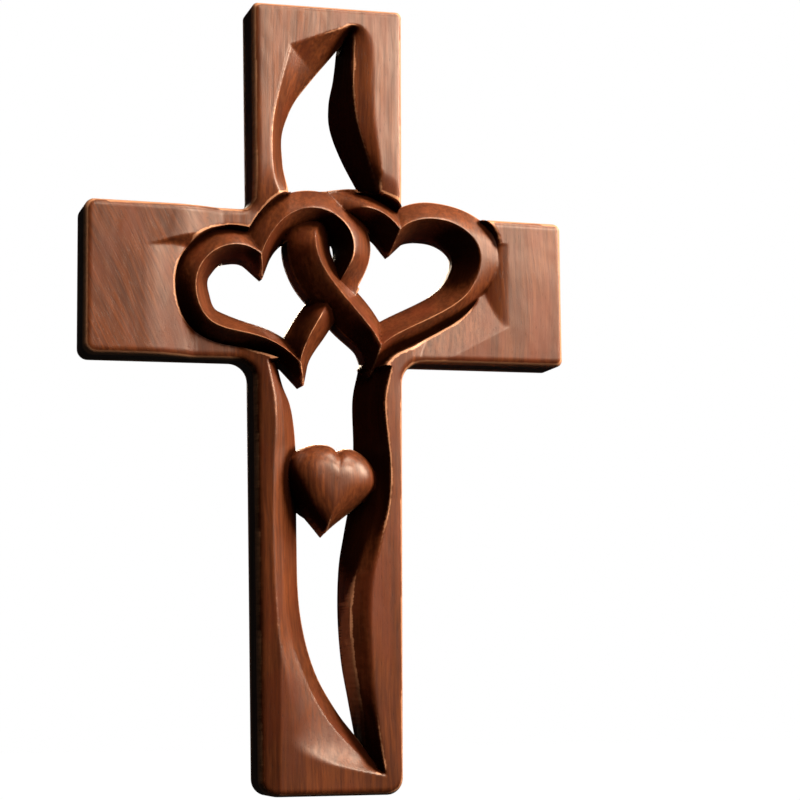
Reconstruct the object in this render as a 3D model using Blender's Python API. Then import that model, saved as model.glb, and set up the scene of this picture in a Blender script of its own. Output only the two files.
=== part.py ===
"""Carved wall cross with two linked hearts and a small heart, cut from one board.

The front faces -Y, the flat back lies in the plane Y = 0 and +Z is up. The origin is the mouth of
the blind hole in the back that the cross hangs by. Sizes below are in millimetres. Carving is laid
out by X from the centre line, Z from the foot and the height H above the back plane.
"""

import math

import bmesh
import bpy
from mathutils import Vector
from mathutils.geometry import intersect_line_line_2d

MM = 0.001

# The board
HEIGHT = 300.0
THICKNESS = 20.0
ARM_SPAN = 186.5
HEAD_WIDTH = 59.2
FOOT_WIDTH = 54.2
ARM_TOP = 220.0
ARM_BASE = 162.5
ARM_END_FALL = 1.0
EDGE_ROUND = 2.2
HEAD_CORNER = 2.4
FOOT_CORNER = 6.2
LEFT_ARM_CORNER = 4.0
RIGHT_ARM_CORNER = 2.8
SHOULDER_CORNER = 4.5
LEFT_ARMPIT_CORNER = 7.2
RIGHT_ARMPIT_CORNER = 8.0
CORNER_STEPS = 5
BACK_SPARE = 1.0
ROUND_STEPS = 3

# The hole that it hangs by
HOLE_DROP = 12.0
HOLE_WIDTH = 6.0
HOLE_DEPTH = 8.0

# The two linked hearts, laid out in shares of their joint width, from the middle of the crossing
HEARTS_WIDTH = 127.0
HEART_STEPS = 30
HEART_FOOT_OUT = 11.0
HEART_FOOT_IN = 6.0
MOAT_DEPTH = 7.5
MOAT_REACH = 3.0
OVERCUT = 2.0
LINK_DIP = 8.5
LINK_REACH = 15.0

# Each side of a heart: half width, widest place, pulls at the notch, over the lobe, down the flank
# and at the tip (sideways, upwards)
LEFT_HEART = {
    "notch": (-0.2102, 0.0842),
    "tip": (-0.0937, -0.2370),
    "lean": -13.4,
    "left": (0.2181, -0.0866, 0.0567, 0.0858, 0.1354, 0.1535, 0.0906, 0.1654),
    "right": (0.2874, -0.0087, 0.1220, 0.1898, 0.1071, 0.1087, 0.0512, 0.1213),
    "out_left": (7.5, 8.0, 7.6, 6.8, 5.4, 4.8, 2.9),
    "out_right": (7.5, 8.2, 8.6, 9.0, 7.6, 6.7, 4.8),
    "in_left": (3.2, 4.6, 6.0, 7.8, 7.8, 6.4, 6.4),
    "in_right": (5.6, 8.4, 6.0, 3.6, 3.4, 6.0, 6.4),
}
RIGHT_HEART = {
    "notch": (0.2189, 0.1787),
    "tip": (0.1551, -0.1795),
    "lean": 32.0,
    "left": (0.2118, -0.1260, 0.1472, 0.0535, 0.0331, 0.1457, 0.0756, 0.0638),
    "right": (0.2795, -0.0283, 0.0236, 0.1157, 0.2260, 0.0992, 0.0126, 0.0780),
    "out_left": (7.0, 7.0, 8.2, 9.2, 9.2, 7.7, 5.2),
    "out_right": (7.0, 8.2, 9.0, 9.0, 7.4, 6.3, 5.4),
    "in_left": (6.0, 7.2, 8.6, 8.8, 9.0, 9.2, 7.8),
    "in_right": (5.4, 6.2, 6.6, 7.6, 7.4, 7.4, 7.2),
}

# The small heart that bridges the lower opening
SMALL_WIDTH = 35.5
SMALL_MIDDLE = (1.3, 115.5)
SMALL_LEAN = 9.0
SMALL_PROUD = 3.4
SMALL_BELLY = 0.42
SMALL_STEPS = 22
SMALL_NOTCH = 0.375
SMALL_TIP = -0.560
SMALL_LEFT = (0.500, -0.275, 0.10, 0.15, 0.285, 0.22, 0.17, 0.15)
SMALL_RIGHT = (0.500, -0.275, 0.10, 0.15, 0.285, 0.18, 0.085, 0.17)

# Scooped faces: middle X and Z, depth of the scoop, half width and half height of its hollow
LEFT_SCOOP = (-51.0, 191.0, 6.5, 19.0, 46.0)
RIGHT_SCOOP = (58.0, 195.0, 6.5, 18.0, 46.0)
SHOULDER_SCOOP = (2.0, 226.0, 7.0, 36.0, 15.0)

# Openings: how far above the back their slopes stop, and how far the long facet falls
LIP = 8.5
FACET_FALL = 4.0
SPAN_STEPS = 4


def place(x, z, h):
    """A point of the layout as a place in the model."""
    return Vector((x, -h, z - (HEIGHT - HOLE_DROP))) * MM


def half_post(z):
    """Half the width of the post at one height."""
    return 0.5 * (FOOT_WIDTH + (HEAD_WIDTH - FOOT_WIDTH) * z / HEIGHT)


def upper(share_x, share_z):
    """A place on the upper limb: shares of the half width and of the limb's length."""
    z = ARM_TOP + share_z * (HEIGHT - ARM_TOP)
    return Vector((share_x * half_post(z), z))


def lower(share_x, share_z):
    """A place on the lower limb: shares of the half width and of the limb's length."""
    z = share_z * ARM_BASE
    return Vector((share_x * half_post(z), z))


def crossing(share_x, share_z):
    """A place where the arms cross the post: shares of its half width and of the arms' height."""
    z = ARM_BASE + share_z * (ARM_TOP - ARM_BASE)
    return Vector((share_x * half_post(z), z))


def at_hearts(share_x, share_z):
    """A place on the linked hearts: shares of their joint width from the middle of the crossing."""
    middle = 0.5 * (ARM_TOP + ARM_BASE)
    return Vector((share_x * HEARTS_WIDTH, middle + share_z * HEARTS_WIDTH))


def blend(values, share):
    """A smooth value along a row of evenly spaced ones."""
    reach = min(max(share, 0.0), 1.0) * (len(values) - 1)
    i = min(int(reach), len(values) - 2)
    t = reach - i
    t = t * t * (3.0 - 2.0 * t)
    return values[i] + (values[i + 1] - values[i]) * t


def resample(path, steps):
    """The same path with evenly spaced points."""
    runs = [0.0]
    for a, b in zip(path, path[1:]):
        runs.append(runs[-1] + (b - a).length)
    points = []
    k = 0
    for i in range(steps + 1):
        want = runs[-1] * i / steps
        while k < len(path) - 2 and runs[k + 1] < want:
            k += 1
        t = (want - runs[k]) / max(runs[k + 1] - runs[k], 1e-9)
        points.append(path[k].lerp(path[k + 1], min(max(t, 0.0), 1.0)))
    return points


def flowing(points, steps):
    """A flowing curve through a few points, with so many steps from each to the next."""
    ends = [2 * points[0] - points[1]] + list(points) + [2 * points[-1] - points[-2]]
    path = []
    for a, b, c, d in zip(ends, ends[1:], ends[2:], ends[3:]):
        for i in range(steps):
            t = i / steps
            path.append(0.5 * (2 * b + (c - a) * t + (2 * a - 5 * b + 4 * c - d) * t ** 2
                               + (3 * b - a - 3 * c + d) * t ** 3))
    path.append(points[-1].copy())
    return path


def pulled(a, b, c, d, steps=40):
    """A curve from a to d that b and c pull on."""
    path = []
    for i in range(steps + 1):
        t = i / steps
        s = 1.0 - t
        path.append(s ** 3 * a + 3 * s * s * t * b + 3 * s * t * t * c + t ** 3 * d)
    return path


def heart_side(notch, tip, lean, side, size, way):
    """One side of a heart, from its notch over the lobe to its tip."""
    half, widest, notch_out, notch_up, lobe, flank, tip_out, tip_up = [s * size for s in side]
    along = Vector((math.sin(lean), math.cos(lean)))
    across = way * Vector((math.cos(lean), -math.sin(lean)))
    edge = notch + across * half + along * widest
    top = pulled(notch, notch + across * notch_out + along * notch_up, edge + along * lobe, edge)
    low = pulled(edge, edge - along * flank, tip + across * tip_out + along * tip_up, tip)
    return top + low[1:]


def beside(path, widths, way):
    """The path moved sideways by widths along it, with both ends run on."""
    start = path[0] + (path[0] - path[1]).normalized() * 30.0
    end = path[-1] + (path[-1] - path[-2]).normalized() * 30.0
    run_on = [start] + list(path) + [end]
    moved = []
    for i, point in enumerate(run_on):
        before = run_on[max(i - 1, 0)]
        after = run_on[min(i + 1, len(run_on) - 1)]
        way_on = (after - before).normalized()
        width = blend(widths, (i - 1) / (len(path) - 1))
        moved.append(point + way * Vector((-way_on.y, way_on.x)) * width)
    return moved


def meeting(left, right, corner, near_start):
    """Where two moved sides meet by a corner: the place and the segment of each side."""
    best = None
    half = len(left) // 2
    span = range(0, half) if near_start else range(half, len(left) - 1)
    for i in span:
        for j in span:
            spot = intersect_line_line_2d(left[i], left[i + 1], right[j], right[j + 1])
            if spot is None:
                continue
            gap = (spot - corner).length
            if best is None or gap < best[0]:
                best = (gap, spot, i, j)
    return best[1:]


def heart_ring(left, right, widths_left, widths_right, outward, steps):
    """A closed ring beside a heart's two sides, with a sharp notch and a sharp tip."""
    way = 1.0 if outward else -1.0
    a = beside(left, widths_left, -way)
    b = beside(right, widths_right, way)
    notch, i, j = meeting(a, b, left[0], True)
    tip, k, m = meeting(a, b, left[-1], False)
    a = resample([notch] + a[i + 1:k + 1] + [tip], steps)
    b = resample([notch] + b[j + 1:m + 1] + [tip], steps)
    return a + b[-2:0:-1]


def heart_sides(heart):
    """The crest of a linked heart: its left and its right side."""
    notch = at_hearts(*heart["notch"])
    tip = at_hearts(*heart["tip"])
    lean = math.radians(heart["lean"])
    left = heart_side(notch, tip, lean, heart["left"], HEARTS_WIDTH, -1.0)
    right = heart_side(notch, tip, lean, heart["right"], HEARTS_WIDTH, 1.0)
    return left, right


def crossings(left_heart, right_heart):
    """Where the two crests cross, the upper place first."""
    a = left_heart[0] + left_heart[1][::-1]
    b = right_heart[0] + right_heart[1][::-1]
    spots = []
    for p, q in zip(a, a[1:]):
        for r, s in zip(b, b[1:]):
            spot = intersect_line_line_2d(p, q, r, s)
            if spot is not None and all((spot - other).length > 3.0 for other in spots):
                spots.append(spot)
    return sorted(spots, key=lambda spot: -spot.y)


def new_object(name, mesh_builder, collection):
    """A mesh object made from a bmesh, in flat triangles so that cuts through it are exact."""
    bmesh.ops.recalc_face_normals(mesh_builder, faces=mesh_builder.faces)
    bmesh.ops.triangulate(mesh_builder, faces=mesh_builder.faces)
    mesh = bpy.data.meshes.new(name)
    mesh_builder.to_mesh(mesh)
    mesh_builder.free()
    obj = bpy.data.objects.new(name, mesh)
    collection.objects.link(obj)
    return obj


def lofted(name, rings, collection, closed_tube=False):
    """A solid through a row of closed rings, capped at both ends or closed on itself."""
    builder = bmesh.new()
    rows = [[builder.verts.new(point) for point in ring] for ring in rings]
    count = len(rows[0])
    pairs = list(zip(rows, rows[1:]))
    if closed_tube:
        pairs.append((rows[-1], rows[0]))
    for low, high in pairs:
        for i in range(count):
            j = (i + 1) % count
            builder.faces.new((low[i], low[j], high[j], high[i]))
    if not closed_tube:
        builder.faces.new(rows[0][::-1])
        builder.faces.new(rows[-1])
    return new_object(name, builder, collection)


def arc_corner(before, corner, after, radius, steps):
    """A corner of an outline rounded by an arc."""
    a = (before - corner).normalized()
    b = (after - corner).normalized()
    half = 0.5 * a.angle(b)
    run = radius / math.tan(half)
    middle = corner + (a + b).normalized() * (radius / math.sin(half))
    start = corner + a * run - middle
    turn = (corner + b * run - middle).angle(start)
    side = 1.0 if start.x * (corner.y - middle.y) - start.y * (corner.x - middle.x) > 0 else -1.0
    points = []
    for i in range(steps + 1):
        angle = side * turn * i / steps
        spin = Vector((start.x * math.cos(angle) - start.y * math.sin(angle),
                       start.x * math.sin(angle) + start.y * math.cos(angle)))
        points.append(middle + spin)
    return points


def board_outline():
    """The outline of the cross, with every corner rounded."""
    arm = 0.5 * ARM_SPAN
    foot = half_post(0.0)
    head = half_post(HEIGHT)
    base = half_post(ARM_BASE)
    top = half_post(ARM_TOP)
    corners = [
        (-foot, 0.0, FOOT_CORNER),
        (foot, 0.0, FOOT_CORNER),
        (base, ARM_BASE, RIGHT_ARMPIT_CORNER),
        (arm, ARM_BASE, RIGHT_ARM_CORNER),
        (arm, ARM_TOP - ARM_END_FALL, RIGHT_ARM_CORNER),
        (top, ARM_TOP, SHOULDER_CORNER),
        (head, HEIGHT, HEAD_CORNER),
        (-head, HEIGHT, HEAD_CORNER),
        (-top, ARM_TOP, SHOULDER_CORNER),
        (-arm, ARM_TOP + 0.8 * ARM_END_FALL, LEFT_ARM_CORNER),
        (-arm, ARM_BASE, LEFT_ARM_CORNER),
        (-base, ARM_BASE, LEFT_ARMPIT_CORNER),
    ]
    outline = []
    for i, (x, z, radius) in enumerate(corners):
        before = Vector(corners[i - 1][:2])
        after = Vector(corners[(i + 1) % len(corners)][:2])
        outline += arc_corner(before, Vector((x, z)), after, radius, CORNER_STEPS)
    return outline


def make_board(collection):
    """The cross-shaped board with its front edge rounded."""
    builder = bmesh.new()
    outline = board_outline()
    face = builder.faces.new([builder.verts.new(place(p.x, p.y, -BACK_SPARE)) for p in outline])
    grown = bmesh.ops.extrude_face_region(builder, geom=[face])["geom"]
    moved = [item for item in grown if isinstance(item, bmesh.types.BMVert)]
    bmesh.ops.translate(builder, verts=moved, vec=(0.0, -(THICKNESS + BACK_SPARE) * MM, 0.0))
    front = set(moved)
    edges = [edge for edge in builder.edges if edge.verts[0] in front and edge.verts[1] in front]
    bmesh.ops.bevel(builder, geom=edges, offset=EDGE_ROUND * MM, segments=ROUND_STEPS,
                    profile=0.5, affect="EDGES", clamp_overlap=True)
    return new_object("carved_cross", builder, collection)


def opening_cutter(name, levels, collection):
    """A cutter for an opening, lofted through outlines at rising heights and run on past the front."""
    (low, below), (high, above) = levels[-2:]
    on = (high + OVERCUT - low) / (high - low)
    levels = levels[:-1] + [(high + OVERCUT, [a.lerp(b, on) for a, b in zip(below, above)])]
    rings = [[place(p.x, p.y, h) for p in ring] for h, ring in levels]
    return lofted(name, rings, collection)


def two_sided(left, right, closing):
    """A closed outline from a left side, a right side and what closes it between them."""
    ring = flowing(left, SPAN_STEPS) + flowing(right, SPAN_STEPS)[1:]
    return ring + flowing([ring[-1]] + closing + [ring[0]], SPAN_STEPS)[1:-1]


def upper_opening(collection):
    """The flame-shaped opening of the upper limb, bevelled left and hollowed right."""
    left_edge = [upper(-0.51, 0.07), upper(-0.56, 0.24), upper(-0.555, 0.37), upper(-0.49, 0.46),
                 upper(-0.36, 0.56), upper(-0.09, 0.69), upper(0.08, 0.765), upper(0.27, 0.85)]
    back_right = [upper(0.27, 0.85), upper(0.25, 0.81), upper(0.23, 0.76), upper(0.195, 0.68),
                  upper(0.13, 0.57), upper(0.14, 0.45), upper(0.30, 0.30), upper(0.60, 0.11)]
    mid_right = [upper(0.27, 0.85), upper(0.34, 0.875), upper(0.40, 0.84), upper(0.405, 0.72),
                 upper(0.40, 0.58), upper(0.45, 0.44), upper(0.56, 0.30), upper(0.69, 0.10)]
    front_left = [upper(-0.74, 0.07), upper(-0.77, 0.28), upper(-0.75, 0.42), upper(-0.70, 0.52),
                  upper(-0.62, 0.64), upper(-0.51, 0.795), upper(-0.20, 0.84), upper(0.15, 0.89)]
    front_right = [upper(0.15, 0.89), upper(0.32, 0.915), upper(0.47, 0.895), upper(0.57, 0.82),
                   upper(0.585, 0.64), upper(0.60, 0.47), upper(0.66, 0.30), upper(0.735, 0.09)]
    sill = [upper(0.40, 0.130), upper(0.18, 0.125), upper(-0.16, 0.104)]
    levels = [
        (-OVERCUT, two_sided(left_edge, back_right, sill)),
        (LIP, two_sided(left_edge, mid_right, sill)),
        (THICKNESS, two_sided(front_left, front_right, sill)),
    ]
    return opening_cutter("upper_opening_cutter", levels, collection)


def lower_opening(collection):
    """The long opening of the lower limb, from the linked hearts down to its pointed foot."""
    left_edge = [lower(-0.65, 1.00), lower(-0.57, 0.945), lower(-0.47, 0.90), lower(-0.415, 0.84),
                 lower(-0.395, 0.76), lower(-0.395, 0.59), lower(-0.38, 0.46), lower(-0.315, 0.375),
                 lower(-0.205, 0.304), lower(-0.06, 0.247), lower(0.17, 0.184), lower(0.33, 0.147),
                 lower(0.50, 0.110)]
    back_right = [lower(0.50, 0.110), lower(0.375, 0.22), lower(0.28, 0.31), lower(0.235, 0.42),
                  lower(0.25, 0.53), lower(0.315, 0.61), lower(0.41, 0.71), lower(0.445, 0.81),
                  lower(0.44, 0.92), lower(0.52, 0.99)]
    mid_right = [lower(0.50, 0.110), lower(0.445, 0.20), lower(0.37, 0.29), lower(0.33, 0.40),
                 lower(0.37, 0.49), lower(0.50, 0.575), lower(0.60, 0.66), lower(0.62, 0.78),
                 lower(0.60, 0.90), lower(0.68, 0.99)]
    facet_left = [lower(-0.80, 1.00), lower(-0.72, 0.95), lower(-0.67, 0.90), lower(-0.655, 0.82),
                  lower(-0.68, 0.74), lower(-0.70, 0.58), lower(-0.65, 0.44), lower(-0.56, 0.36),
                  lower(-0.43, 0.30), lower(-0.25, 0.228), lower(-0.02, 0.165), lower(0.28, 0.11),
                  lower(0.66, 0.058)]
    facet_right = [lower(0.66, 0.058), lower(0.60, 0.15), lower(0.53, 0.24), lower(0.50, 0.36),
                   lower(0.52, 0.47), lower(0.62, 0.57), lower(0.72, 0.66), lower(0.75, 0.78),
                   lower(0.70, 0.90), lower(0.78, 0.99)]
    front_left = [lower(-0.90, 1.00), lower(-0.84, 0.955), lower(-0.785, 0.91), lower(-0.77, 0.84),
                  lower(-0.82, 0.75), lower(-0.84, 0.58), lower(-0.785, 0.44), lower(-0.73, 0.35),
                  lower(-0.65, 0.25), lower(-0.57, 0.17), lower(-0.48, 0.11), lower(-0.05, 0.073),
                  lower(0.74, 0.045)]
    front_right = [lower(0.74, 0.045), lower(0.65, 0.14), lower(0.57, 0.25), lower(0.53, 0.38),
                   lower(0.56, 0.49), lower(0.68, 0.58), lower(0.80, 0.67), lower(0.82, 0.76),
                   lower(0.745, 0.90), lower(0.84, 0.99)]
    top = [crossing(0.624, 0.125), crossing(0.378, 0.257), crossing(0.133, 0.367),
           crossing(-0.111, 0.257), crossing(-0.357, 0.103)]
    levels = [
        (-OVERCUT, two_sided(left_edge, back_right, top)),
        (LIP, two_sided(left_edge, mid_right, top)),
        (THICKNESS - FACET_FALL, two_sided(facet_left, facet_right, top)),
        (THICKNESS, two_sided(front_left, front_right, top)),
    ]
    return opening_cutter("lower_opening_cutter", levels, collection)


def heart_cutter(name, heart, sides, collection):
    """A cutter that opens the board under a linked heart and sinks a moat beside it."""
    left, right = sides
    rings = []
    for share, reach in ((0.6, 0.0), (1.0, MOAT_REACH)):
        widths_left = [share * w + reach for w in heart["out_left"]]
        widths_right = [share * w + reach for w in heart["out_right"]]
        rings.append(heart_ring(left, right, widths_left, widths_right, True, HEART_STEPS))
    floor = THICKNESS - MOAT_DEPTH
    levels = [(-OVERCUT, rings[0]), (floor, rings[0]), (THICKNESS, rings[1])]
    return opening_cutter(name, levels, collection)


def heart_band(name, heart, sides, under, depth, collection):
    """A linked heart: a ridged band that dips where it passes under the other heart."""
    left, right = sides
    crest = resample(left, HEART_STEPS) + resample(right, HEART_STEPS)[-2:0:-1]
    outer = heart_ring(left, right, heart["out_left"], heart["out_right"], True, HEART_STEPS)
    inner = heart_ring(left, right, heart["in_left"], heart["in_right"], False, HEART_STEPS)
    ridge = []
    for point in crest:
        near = max(0.0, 1.0 - (point - under).length / LINK_REACH)
        dip = LINK_DIP * near * near * (3.0 - 2.0 * near)
        ridge.append(place(point.x, point.y, THICKNESS - dip))
    rings = [
        [place(p.x, p.y, -depth) for p in outer],
        [place(p.x, p.y, HEART_FOOT_OUT) for p in outer],
        ridge,
        [place(p.x, p.y, HEART_FOOT_IN) for p in inner],
        [place(p.x, p.y, -depth) for p in inner],
    ]
    return lofted(name, rings, collection, closed_tube=True)


def small_heart(collection):
    """The small pillowed heart, lofted through outlines that draw in towards its front."""
    middle = Vector((SMALL_MIDDLE[0], SMALL_MIDDLE[1]))
    lean = math.radians(SMALL_LEAN)
    along = Vector((math.sin(lean), math.cos(lean)))
    notch = middle + along * SMALL_NOTCH * SMALL_WIDTH
    tip = middle + along * SMALL_TIP * SMALL_WIDTH
    left = heart_side(notch, tip, lean, SMALL_LEFT, SMALL_WIDTH, -1.0)
    right = heart_side(notch, tip, lean, SMALL_RIGHT, SMALL_WIDTH, 1.0)
    outline = resample(left, SMALL_STEPS) + resample(right, SMALL_STEPS)[-2:0:-1]
    belly = SMALL_BELLY * THICKNESS
    rise = THICKNESS + SMALL_PROUD - belly
    rings = [[place(p.x, p.y, -3.5) for p in [middle.lerp(q, 0.90) for q in outline]]]
    for turn in (-35.0, -12.0, 0.0, 18.0, 36.0, 52.0, 66.0, 78.0, 86.0):
        angle = math.radians(turn)
        draw = math.cos(angle) ** 0.9
        height = belly + math.sin(angle) * (rise if turn > 0.0 else belly)
        rings.append([place(p.x, p.y, height) for p in [middle.lerp(q, draw) for q in outline]])
    return lofted("small_heart", rings, collection)


def scoop_cutter(name, scoop, collection):
    """A shallow hollow in the front face, cut by a stretched ball."""
    x, z, depth, half_width, half_height = scoop
    lift = 1.5 * depth
    radius = depth + lift
    spread = math.sqrt(1.0 - (lift / radius) ** 2)
    builder = bmesh.new()
    bmesh.ops.create_uvsphere(builder, u_segments=32, v_segments=16, radius=1.0)
    size = Vector((half_width / spread, radius, half_height / spread)) * MM
    bmesh.ops.scale(builder, verts=builder.verts, vec=size)
    bmesh.ops.translate(builder, verts=builder.verts, vec=place(x, z, THICKNESS + lift))
    return new_object(name, builder, collection)


def back_cutter(collection):
    """A block that planes the back flat."""
    builder = bmesh.new()
    bmesh.ops.create_cube(builder, size=1.0)
    size = Vector((2.0 * ARM_SPAN, 30.0, 2.0 * HEIGHT)) * MM
    bmesh.ops.scale(builder, verts=builder.verts, vec=size)
    bmesh.ops.translate(builder, verts=builder.verts, vec=place(0.0, 0.5 * HEIGHT, -15.0))
    return new_object("back_cutter", builder, collection)


def hole_cutter(collection):
    """The blind hole in the back that takes a nail or a screw."""
    builder = bmesh.new()
    bmesh.ops.create_cone(builder, cap_ends=True, segments=24, radius1=0.5 * HOLE_WIDTH * MM,
                          radius2=0.5 * HOLE_WIDTH * MM, depth=2.0 * HOLE_DEPTH * MM)
    for vert in builder.verts:
        vert.co = Vector((vert.co.x, vert.co.z, vert.co.y))
    return new_object("hole_cutter", builder, collection)


def combine(target, other, operation):
    """Join another solid to the target, or cut it away, for good."""
    step = target.modifiers.new(other.name, "BOOLEAN")
    step.operation = operation
    step.solver = "EXACT"
    step.object = other
    bpy.context.view_layer.update()
    graph = bpy.context.evaluated_depsgraph_get()
    done = bpy.data.meshes.new_from_object(target.evaluated_get(graph))
    target.modifiers.clear()
    old = target.data
    target.data = done
    bpy.data.meshes.remove(old)


def clean(target):
    """Weld the seams that the cuts leave, and lay flat faces out in triangles."""
    builder = bmesh.new()
    builder.from_mesh(target.data)
    bmesh.ops.remove_doubles(builder, verts=builder.verts, dist=0.000002)
    bmesh.ops.dissolve_degenerate(builder, edges=builder.edges, dist=0.000002)
    bmesh.ops.triangulate(builder, faces=builder.faces)
    builder.to_mesh(target.data)
    builder.free()


def walnut():
    """A plain dark walnut finish."""
    finish = bpy.data.materials.new("stained_walnut")
    finish.use_nodes = True
    shader = finish.node_tree.nodes["Principled BSDF"]
    shader.inputs["Base Color"].default_value = (0.20, 0.075, 0.035, 1.0)
    shader.inputs["Roughness"].default_value = 0.45
    return finish


def build():
    """Carve the cross."""
    for obj in list(bpy.data.objects):
        bpy.data.objects.remove(obj)
    part = bpy.data.collections.new("linked_hearts_wall_cross")
    cutters = bpy.data.collections.new("cutters")
    for collection in (part, cutters):
        bpy.context.scene.collection.children.link(collection)
    cross = make_board(part)
    left = heart_sides(LEFT_HEART)
    right = heart_sides(RIGHT_HEART)
    over, under = crossings(left, right)[:2]
    cuts = [
        upper_opening(cutters),
        lower_opening(cutters),
        scoop_cutter("left_scoop_cutter", LEFT_SCOOP, cutters),
        scoop_cutter("right_scoop_cutter", RIGHT_SCOOP, cutters),
        scoop_cutter("shoulder_scoop_cutter", SHOULDER_SCOOP, cutters),
        heart_cutter("left_heart_cutter", LEFT_HEART, left, cutters),
        heart_cutter("right_heart_cutter", RIGHT_HEART, right, cutters),
    ]
    joined = [
        heart_band("left_heart", LEFT_HEART, left, under, 2.5, cutters),
        heart_band("right_heart", RIGHT_HEART, right, over, 3.0, cutters),
        small_heart(cutters),
    ]
    for cutter in cuts:
        combine(cross, cutter, "DIFFERENCE")
    for solid in joined:
        combine(cross, solid, "UNION")
    for cutter in (back_cutter(cutters), hole_cutter(cutters)):
        combine(cross, cutter, "DIFFERENCE")
    clean(cross)
    for obj in cutters.objects:
        obj.hide_render = True
        obj.display_type = "WIRE"
    cross.data.materials.append(walnut())


build()
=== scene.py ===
"""The carved walnut wall cross with two linked hearts, sculpted and finished for its picture.

Carving is laid out in millimetres by X from the centre line, Z from the foot and the height H above
the flat back. The front is one carved surface over the plan of the cross: every hollow, bevel and
ridge is a surface of its own, the lowest cut wins over the board, and the ridges stand on what is
left. Walls run from the rim of that surface to the back.
"""

import logging
import math
from dataclasses import dataclass, field
from enum import Enum

import bmesh
import bpy
import numpy as np
from mathutils import Matrix, Vector, noise
from mathutils.bvhtree import BVHTree
from mathutils.geometry import delaunay_2d_cdt, intersect_line_line_2d
from mathutils.kdtree import KDTree


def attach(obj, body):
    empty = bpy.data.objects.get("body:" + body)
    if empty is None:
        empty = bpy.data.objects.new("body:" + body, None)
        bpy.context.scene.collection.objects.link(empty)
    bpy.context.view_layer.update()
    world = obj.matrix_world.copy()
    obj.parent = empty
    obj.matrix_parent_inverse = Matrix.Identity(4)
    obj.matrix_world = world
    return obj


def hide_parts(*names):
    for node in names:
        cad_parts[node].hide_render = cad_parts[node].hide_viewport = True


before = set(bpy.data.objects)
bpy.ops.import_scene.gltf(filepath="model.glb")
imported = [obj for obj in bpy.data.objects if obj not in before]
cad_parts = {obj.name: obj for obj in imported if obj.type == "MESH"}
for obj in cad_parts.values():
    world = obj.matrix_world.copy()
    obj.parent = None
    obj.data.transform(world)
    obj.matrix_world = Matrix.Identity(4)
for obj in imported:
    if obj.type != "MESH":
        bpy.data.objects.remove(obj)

LOG = logging.getLogger("wall_cross")
MM = 0.001
GONE = -5.0  # the height given to a place with no wood
NO_RIDGE = -20.0  # the height read where a ridge isn't
NO_CUT = 60.0  # the height read where a cut isn't
WALL_SHARES = (0.72, 0.45, 0.2, 0.0)  # the heights of a wall's rows, as shares of the whole
GOLDEN_TURN = 2.399963  # radians from each ray of a fan to the next
WELL_INSIDE = 50.0  # the inset given to a place far from the outline
RIM_REACH = 8.0  # how far from the outline an inset is worked out
MOAT_FADE = 4.0  # how far inside the outline the cut round the hearts starts to rise
THINNEST = 0.6  # the least height of the front over the back
SHARP_ANGLE = 48.0  # degrees; a sharper edge isn't smoothed over

Path = list[Vector]


class Side(Enum):
    """The two sides of a heart or an opening, as seen from the front."""

    LEFT = -1
    RIGHT = 1


class Way(Enum):
    """Which way a ring lies from the crest of a heart."""

    OUTWARD = 1
    INWARD = -1


# ------------------------------------------------------------------------------------------------
# Curves of the layout
# ------------------------------------------------------------------------------------------------


def smooth(share: float) -> float:
    """A share from 0 to 1, eased at both ends."""
    return share * share * (3.0 - 2.0 * share)


def blend(values: tuple[float, ...], share: float) -> float:
    """A smooth value along a row of evenly spaced ones.

    Args:
        values: The row of values.
        share: How far along the row, from 0 to 1.

    Returns:
        The value there.
    """
    reach = min(max(share, 0.0), 1.0) * (len(values) - 1)
    i = min(int(reach), len(values) - 2)
    return values[i] + (values[i + 1] - values[i]) * smooth(reach - i)


def resample(path: Path, steps: int) -> Path:
    """The same path with evenly spaced points.

    Args:
        path: The points of the path.
        steps: How many steps the new path has.

    Returns:
        The new path, one point longer than its steps.
    """
    runs = [0.0]
    for a, b in zip(path, path[1:]):
        runs.append(runs[-1] + (b - a).length)
    points = []
    k = 0
    for i in range(steps + 1):
        want = runs[-1] * i / steps
        while k < len(path) - 2 and runs[k + 1] < want:
            k += 1
        t = (want - runs[k]) / max(runs[k + 1] - runs[k], 1e-9)
        points.append(path[k].lerp(path[k + 1], min(max(t, 0.0), 1.0)))
    return points


def spaced(path: Path, step: float) -> Path:
    """The same path with points about one step apart."""
    length = sum((b - a).length for a, b in zip(path, path[1:]))
    return resample(path, max(2, round(length / step)))


def flowing(points: Path, steps: int) -> Path:
    """A flowing curve through a few points.

    Args:
        points: The points that it passes through.
        steps: How many steps it takes from each to the next.

    Returns:
        The curve.
    """
    ends = [2 * points[0] - points[1]] + list(points) + [2 * points[-1] - points[-2]]
    path = []
    for a, b, c, d in zip(ends, ends[1:], ends[2:], ends[3:]):
        for i in range(steps):
            t = i / steps
            path.append(0.5 * (2 * b + (c - a) * t + (2 * a - 5 * b + 4 * c - d) * t ** 2
                               + (3 * b - a - 3 * c + d) * t ** 3))
    path.append(points[-1].copy())
    return path


def pulled(a: Vector, b: Vector, c: Vector, d: Vector, steps: int = 40) -> Path:
    """A curve from a to d that b and c pull on."""
    path = []
    for i in range(steps + 1):
        t = i / steps
        s = 1.0 - t
        path.append(s ** 3 * a + 3 * s * s * t * b + 3 * s * t * t * c + t ** 3 * d)
    return path


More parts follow.
